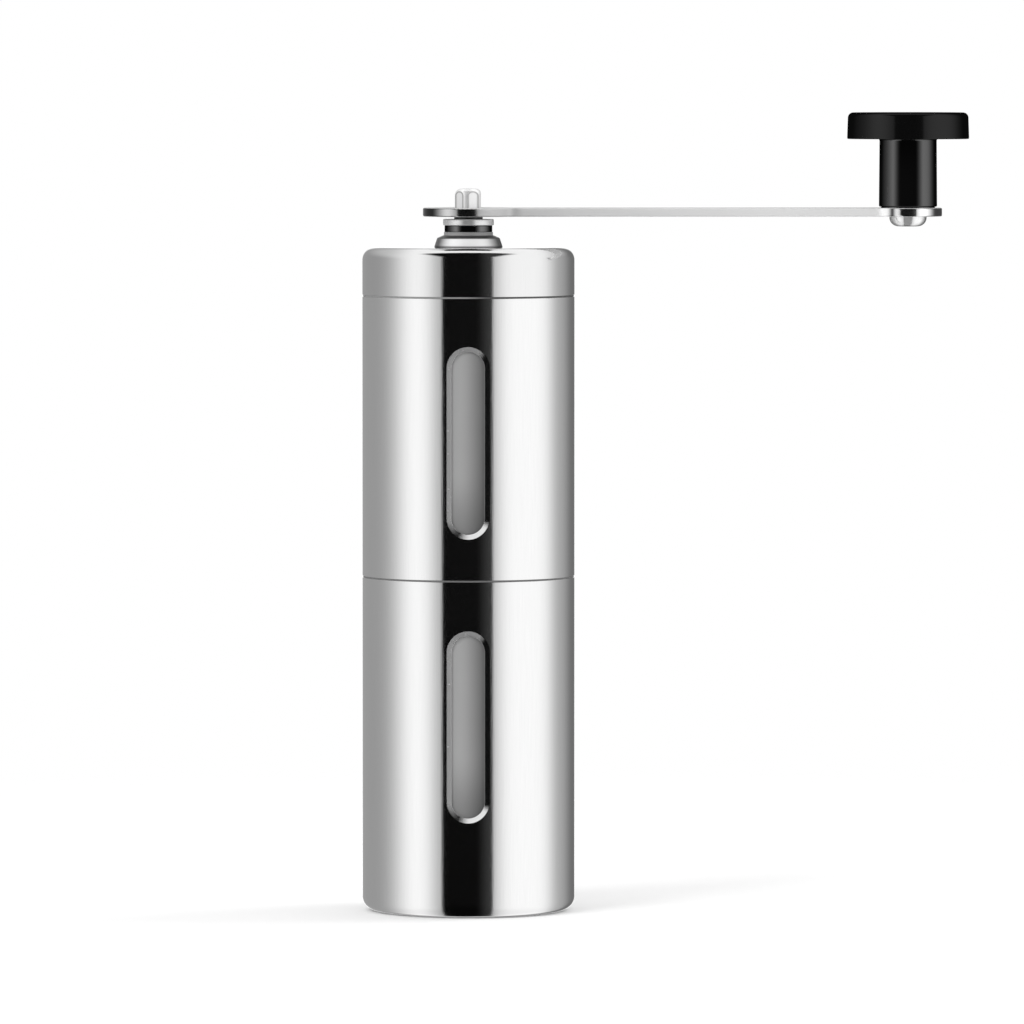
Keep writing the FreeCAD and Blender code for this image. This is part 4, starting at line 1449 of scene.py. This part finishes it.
    def build(self) -> None:
        """Make the shaft."""
        z = self.heights()[:, None]
        angle = even_angles(self.columns)[None, :]
        radius = self.section(z, angle)
        height = np.broadcast_to(z, radius.shape)
        solid = Solid()
        index = solid.add(np.stack((radius * np.sin(angle), -radius * np.cos(angle), height), axis=-1))
        solid.quads(wrapped(index))
        for level, rim in ((self.low, index[0]), (self.high, index[-1])):
            solid.close(rim, (0.0, 0.0, level))
        item = solid.piece("shaft_milled", SHAFT_STEEL, Body.SHAFT, ["drive_shaft"])
        self.mark(item.data)
        split = item.modifiers.new("edges", "EDGE_SPLIT")
        split.split_angle = math.radians(self.split)


@dataclass
class Spring:
    """The coil that holds the burr down, one round wire between the shaft's washer and the burr."""

    radius: float = 4.2
    wire: float = 0.4
    turns: float = 5.0
    low: float = 77.35
    high: float = 88.45
    rings: int = 241
    sides: int = 16

    def build(self) -> None:
        """Make the coil.

        A circle of the wire's radius is carried along a helix, always at right angles to it.
        """
        share = np.linspace(0.0, 1.0, self.rings)[:, None]
        turn = FULL_TURN * self.turns * share
        level = np.zeros_like(turn)
        outward = np.stack((np.cos(turn), np.sin(turn), level), axis=-1)
        slope = (self.high - self.low) / (FULL_TURN * self.turns)
        along = np.stack((-self.radius * np.sin(turn), self.radius * np.cos(turn), level + slope), axis=-1)
        upward = np.cross(outward, along / math.hypot(self.radius, slope))
        spin = even_angles(self.sides)[None, :, None]
        middle = self.radius * outward
        middle[..., 2] = self.low + (self.high - self.low) * share
        solid = Solid()
        index = solid.add(middle + self.wire * (np.cos(spin) * outward + np.sin(spin) * upward))
        solid.quads(wrapped(index))
        for end in (0, -1):
            solid.close(index[end], middle[end, 0])
        item = solid.piece("spring_coil", FASTENER, None, ["burr_spring"])
        top = (0.0, 0.0, (self.high + self.wire) * MM)
        foot = (0.0, 0.0, (self.low - self.wire) * MM)
        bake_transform(item)


@dataclass
class Knob:
    """The black knob: a stem that widens a little downwards under a rounded disc, and its cap."""

    centre: float = KNOB_CENTRE
    low: float = 162.3
    stem_top: float = KNOB_DISC
    high: float = 184.0
    bore: float = 3.1
    stem_foot: float = 6.7
    stem_neck: float = 6.58
    disc_low: float = 14.05
    disc_high: float = 13.85
    seat: float = 9.1
    seat_floor: float = 180.9
    pocket: float = 5.8
    pocket_floor: float = 176.6
    cap: float = 9.0
    cap_drop: float = 0.05
    segments: int = 144

    def build(self) -> None:
        """Make the grip and the cap, which the polished lid doesn't mirror."""
        grip = Turned([
            (self.bore, self.low, 0.2),
            (self.stem_foot, self.low, 0.3),
            (self.stem_neck, self.stem_top, 0.45),
            (self.disc_low, self.stem_top, 0.25),
            (self.disc_high, self.high, 1.25),
            (self.seat, self.high, 0.12),
            (self.seat, self.seat_floor, 0.05),
            (self.pocket, self.seat_floor, 0.05),
            (self.pocket, self.pocket_floor, 0.05),
            (self.bore, self.pocket_floor, 0.05),
        ], centre=self.centre, segments=self.segments, steps=10)
        stem = grip.solid().piece("knob_grip_gloss", KNOB_BLACK, Body.KNOB, ["knob_grip"])
        top = self.high - self.cap_drop
        cap = Turned([
            (0.0, self.seat_floor, 0.0),
            (self.cap, self.seat_floor, 0.05),
            (self.cap, top, 0.15),
            (0.0, top, 0.0),
        ], centre=self.centre, segments=self.segments)
        lid = cap.solid().piece("knob_cap_gloss", KNOB_BLACK, Body.KNOB, ["knob_cap"])
        for item in (stem, lid):
            item.visible_glossy = False


@dataclass(frozen=True)
class Dressing:
    """A finish for solids that are shown as they are."""

    finish: Finish
    nodes: tuple[str, ...]

    def apply(self) -> None:
        """Give each solid the finish."""
        for name in self.nodes:
            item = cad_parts[name]
            item.data.materials.clear()
            item.data.materials.append(self.finish.material())
            LOG.info("%s: %s", name, self.finish.name)


DRESSINGS = (
    Dressing(CRANK_STEEL, ("crank_arm",)),
    Dressing(CHROME, ("knob_pin",)),
    Dressing(CARRIER_PAINTED_LIGHT, ("burr_carrier",)),
    Dressing(MATT_BLACK, ("shaft_bridge", "burr_retainer", "lid_liner", "adjuster_dial")),
    Dressing(FASTENER, ("bridge_screw_1", "bridge_screw_2", "bridge_screw_3", "knob_screw",
                        "knob_lock_washer", "clip_washer", "spring_washer", "shaft_clip", "click_plate",
                        "lid_nut")),
    Dressing(BRASS, ("bridge_bush", "adjuster_nut")),
    Dressing(CERAMIC, ("inner_burr", "outer_burr")),
    Dressing(NYLON, ("knob_thrust_washer",)),
)


@dataclass(frozen=True)
class Glow:
    """A soft upright panel that only mirrors see, at a turn and over a width in degrees."""

    level: float
    turn: float
    width: float
    flat: bool = False

    def light(self, tree: Tree, turn: Sock) -> Sock:
        """Give its brightness by the turn looked in."""
        return self.level * tree.bell(turn, self.turn, self.width, self.flat)


@dataclass(frozen=True)
class Surround:
    """The surroundings that only mirrors see, with turns in degrees from the front, and rises up to 1.

    Soft panels stand to the left and right of a dark strip. The strip leans over into a dark panel overhead,
    behind which it is bright, and the wall straight behind the grinder is bright too.
    """

    panels: tuple[Glow, ...] = (
        Glow(0.8, -58.0, 30.0),
        Glow(-0.1, -33.0, 9.0),
        Glow(1.02, 66.0, 40.0, flat=True),
        Glow(0.26, 120.0, 19.0),
    )
    base: float = 0.37
    base_fall: float = 0.2
    base_turns: Span = (-60.0, 60.0)
    # The bright wall behind, the bright part overhead and the paler upper flanks
    bright: float = 1.15
    back_turns: Span = (168.0, 176.0)
    back_rises: Span = (0.15, 0.3)
    top_rises: Span = (0.75, 0.92)
    flank: float = 0.3
    flank_rises: Span = (0.2, 0.6)
    flank_turns: Span = (40.0, 80.0)
    # The dark strip in front, and the dark panel overhead with its sides in heights above the grinder
    dark: float = 0.003
    dark_gain: float = 0.04
    dark_turns: Span = (8.0, 26.0)
    strip_middle: float = -1.0
    strip_turns: Span = (26.1, 29.1)
    strip_rises: Span = (0.9, 0.93)
    ceiling_sides: Span = (0.5, 0.75)
    ceiling_back: Span = (0.0, 0.1)
    ceiling_front: Span = (0.8, 1.1)
    least_rise: float = 0.001
    # The dimmer ground, and the ways straight behind that are read by their plain turn
    ground: float = 0.12
    ground_drops: Span = (0.5, 1.0)
    behind: Span = (0.75, 0.95)

    def turn(self, tree: Tree, way: dict[str, Sock]) -> Sock:
        """Give the turn of a way.

        It is twice the half angle atan(x / (1 - y)), except straight behind, so that the stripes on an
        upright wall run on over its rounded corners.

        Args:
            tree: the world's tree.
            way: parts of the direction looked in.

        Returns:
            The turn, positive to the right.
        """
        around = tree.math("ARCTAN2", way["X"], -way["Y"]) * DEGREES
        doubled = tree.math("ARCTAN2", way["X"], 1.0 - way["Y"]) * (2.0 * DEGREES)
        return around + (doubled - around) * tree.smooth(way["Y"], *self.behind, 1.0, 0.0)

    def shade(self, tree: Tree, way: dict[str, Sock], turn: Sock) -> Sock:
        """Mark the dark strip in front and the dark panel overhead.

        Args:
            tree: the world's tree.
            way: parts of the direction looked in.
            turn: its turn.

        Returns:
            1 in the dark and 0 outside it.
        """
        strip = 1.0 - tree.smooth(abs(turn - self.strip_middle), *self.strip_turns)
        strip = strip * (1.0 - tree.smooth(way["Z"], *self.strip_rises))
        height = tree.math("MAXIMUM", way["Z"], self.least_rise)
        sides = tree.smooth(abs(way["X"]) / height, *self.ceiling_sides)
        ceiling = (1.0 - sides) * tree.band(-way["Y"] / height, self.ceiling_back, self.ceiling_front)
        return tree.math("MAXIMUM", strip, ceiling)

    def light(self, tree: Tree, way: dict[str, Sock]) -> Sock:
        """Give the brightness that mirrors show.

        Args:
            tree: the world's tree.
            way: parts of the direction looked in.

        Returns:
            The brightness.
        """
        turn = self.turn(tree, way)
        rise = way["Z"]
        walls = self.base - self.base_fall * tree.smooth(turn, *self.base_turns)
        for panel in self.panels:
            walls = walls + panel.light(tree, turn)
        back = tree.smooth(abs(turn), *self.back_turns) * (1.0 - tree.smooth(abs(rise), *self.back_rises))
        walls = walls + (self.bright - walls) * back
        flank = tree.smooth(rise, *self.flank_rises) * tree.smooth(abs(turn), *self.flank_turns)
        top = tree.math("MAXIMUM", tree.smooth(rise, *self.top_rises), self.flank * flank)
        walls = walls + (self.bright - walls) * top
        dark = self.dark + self.dark_gain * tree.smooth(turn, *self.dark_turns)
        level = walls + (dark - walls) * self.shade(tree, way, turn)
        return level * (1.0 - self.ground * tree.smooth(-rise, *self.ground_drops))


@dataclass(frozen=True)
class Floor:
    """A pale disc that fades into the white surroundings and that mirrors don't see."""

    radius: float = 0.6
    drop: float = 0.0002
    sides: int = 96
    levels: Span = (0.93, 0.96)
    grain_scale: float = 40.0
    fade: Span = (0.05, 0.45)

    def material(self) -> bpy.types.Material:
        """Make the floor's material.

        Returns:
            The material, clear far from the grinder.
        """
        made = bpy.data.materials.new("floor_pale")
        tree = Tree(made)
        grain = tree.noise(self.grain_scale, detail=3.0)
        shades = (grey(level) for level in self.levels)
        skin = tree.node("BsdfDiffuse", {"Color": tree.mix(grain, *shades)})
        far = tree.node("VectorMath", {0: tree.place()}, output="Value", operation="LENGTH")
        clear = tree.node("BsdfTransparent")
        tree.surface(tree.node("MixShader", {0: tree.smooth(far, *self.fade), 1: skin, 2: clear}))
        return made

    def build(self) -> None:
        """Lay the disc."""
        mesh = bpy.data.meshes.new("floor")
        angles = even_angles(self.sides)
        level = np.full(self.sides, -self.drop)
        rim = np.stack((self.radius * np.cos(angles), self.radius * np.sin(angles), level), axis=-1)
        mesh.from_pydata(rim.tolist(), [], [list(range(self.sides))])
        mesh.materials.append(self.material())
        item = shown("floor", mesh)
        item.visible_glossy = False


@dataclass(frozen=True)
class Lamp:
    """A soft square lamp that points at the grinder and that mirrors don't see."""

    name: str
    spot: tuple[float, float, float]
    size: float
    power: float
    target: tuple[float, float, float] = (0.03, 0.0, 0.09)

    def build(self) -> None:
        """Hang the lamp."""
        data = bpy.data.lights.new(self.name, "AREA")
        data.size = self.size
        data.energy = self.power
        item = shown(self.name, data)
        item.location = self.spot
        way = Vector(self.target) - Vector(self.spot)
        item.rotation_euler = way.to_track_quat("-Z", "Y").to_euler()
        item.visible_glossy = False


@dataclass
class Studio:
    """Camera, surroundings, floor and lamps."""

    distance: float = 2.2
    elevation: float = 2.7
    aim: tuple[float, float, float] = (0.01004, 0.0, 0.09185)
    lens: float = 335.1
    sensor: float = 36.0
    sight: float = 50.0
    fill: float = 0.85
    surround: Surround = Surround()
    floor: Floor = Floor()
    lamps: tuple[Lamp, ...] = (
        Lamp("key", (-0.8, -0.9, 1.1), 0.7, 9.0),
        Lamp("rim", (0.9, 0.3, 0.8), 0.6, 4.0),
    )

    def camera(self) -> None:
        """Place the camera in front of the windows, a little above."""
        data = bpy.data.cameras.new("camera")
        data.lens = self.lens
        data.sensor_width = self.sensor
        data.clip_end = self.sight
        item = shown("camera", data)
        tilt = math.radians(self.elevation)
        back = Vector((0.0, -math.cos(tilt), math.sin(tilt)))
        item.location = Vector(self.aim) + back * self.distance
        item.rotation_euler = (math.pi / 2 - tilt, 0.0, 0.0)
        bpy.context.scene.camera = item

    def world(self) -> None:
        """Write the surroundings: white to the camera, panels to mirrors and an even fill to the rest."""
        world = bpy.data.worlds.new("studio")
        bpy.context.scene.world = world
        tree = Tree(world)
        way = tree.node("TexCoord", output="Generated")
        level = self.surround.light(tree, {axis: tree.axis(axis, way) for axis in "XYZ"})
        seen = tree.node("LightPath", output="Is Camera Ray")
        mirror = tree.node("LightPath", output="Is Glossy Ray")
        light = mirror * level + (1.0 - mirror) * self.fill
        strength = seen + (1.0 - seen) * light
        back = tree.node("Background", {"Color": grey(1.0), "Strength": strength})
        tree.node("OutputWorld", {"Surface": back})

    def build(self) -> None:
        """Set up the studio."""
        self.camera()
        self.world()
        for item in (self.floor, *self.lamps):
            item.build()
        bpy.context.scene.view_settings.view_transform = "Standard"
        LOG.info("studio ready")


def main() -> None:
    """Build every piece in order, then the studio."""
    logging.basicConfig(level=logging.INFO, format="%(name)s %(message)s")
    for dressing in DRESSINGS:
        dressing.apply()
    for maker in (Shells(), Collar(), Shaft(), Spring(), Knob(), Studio()):
        maker.build()


if __name__ == "__main__":
    main()
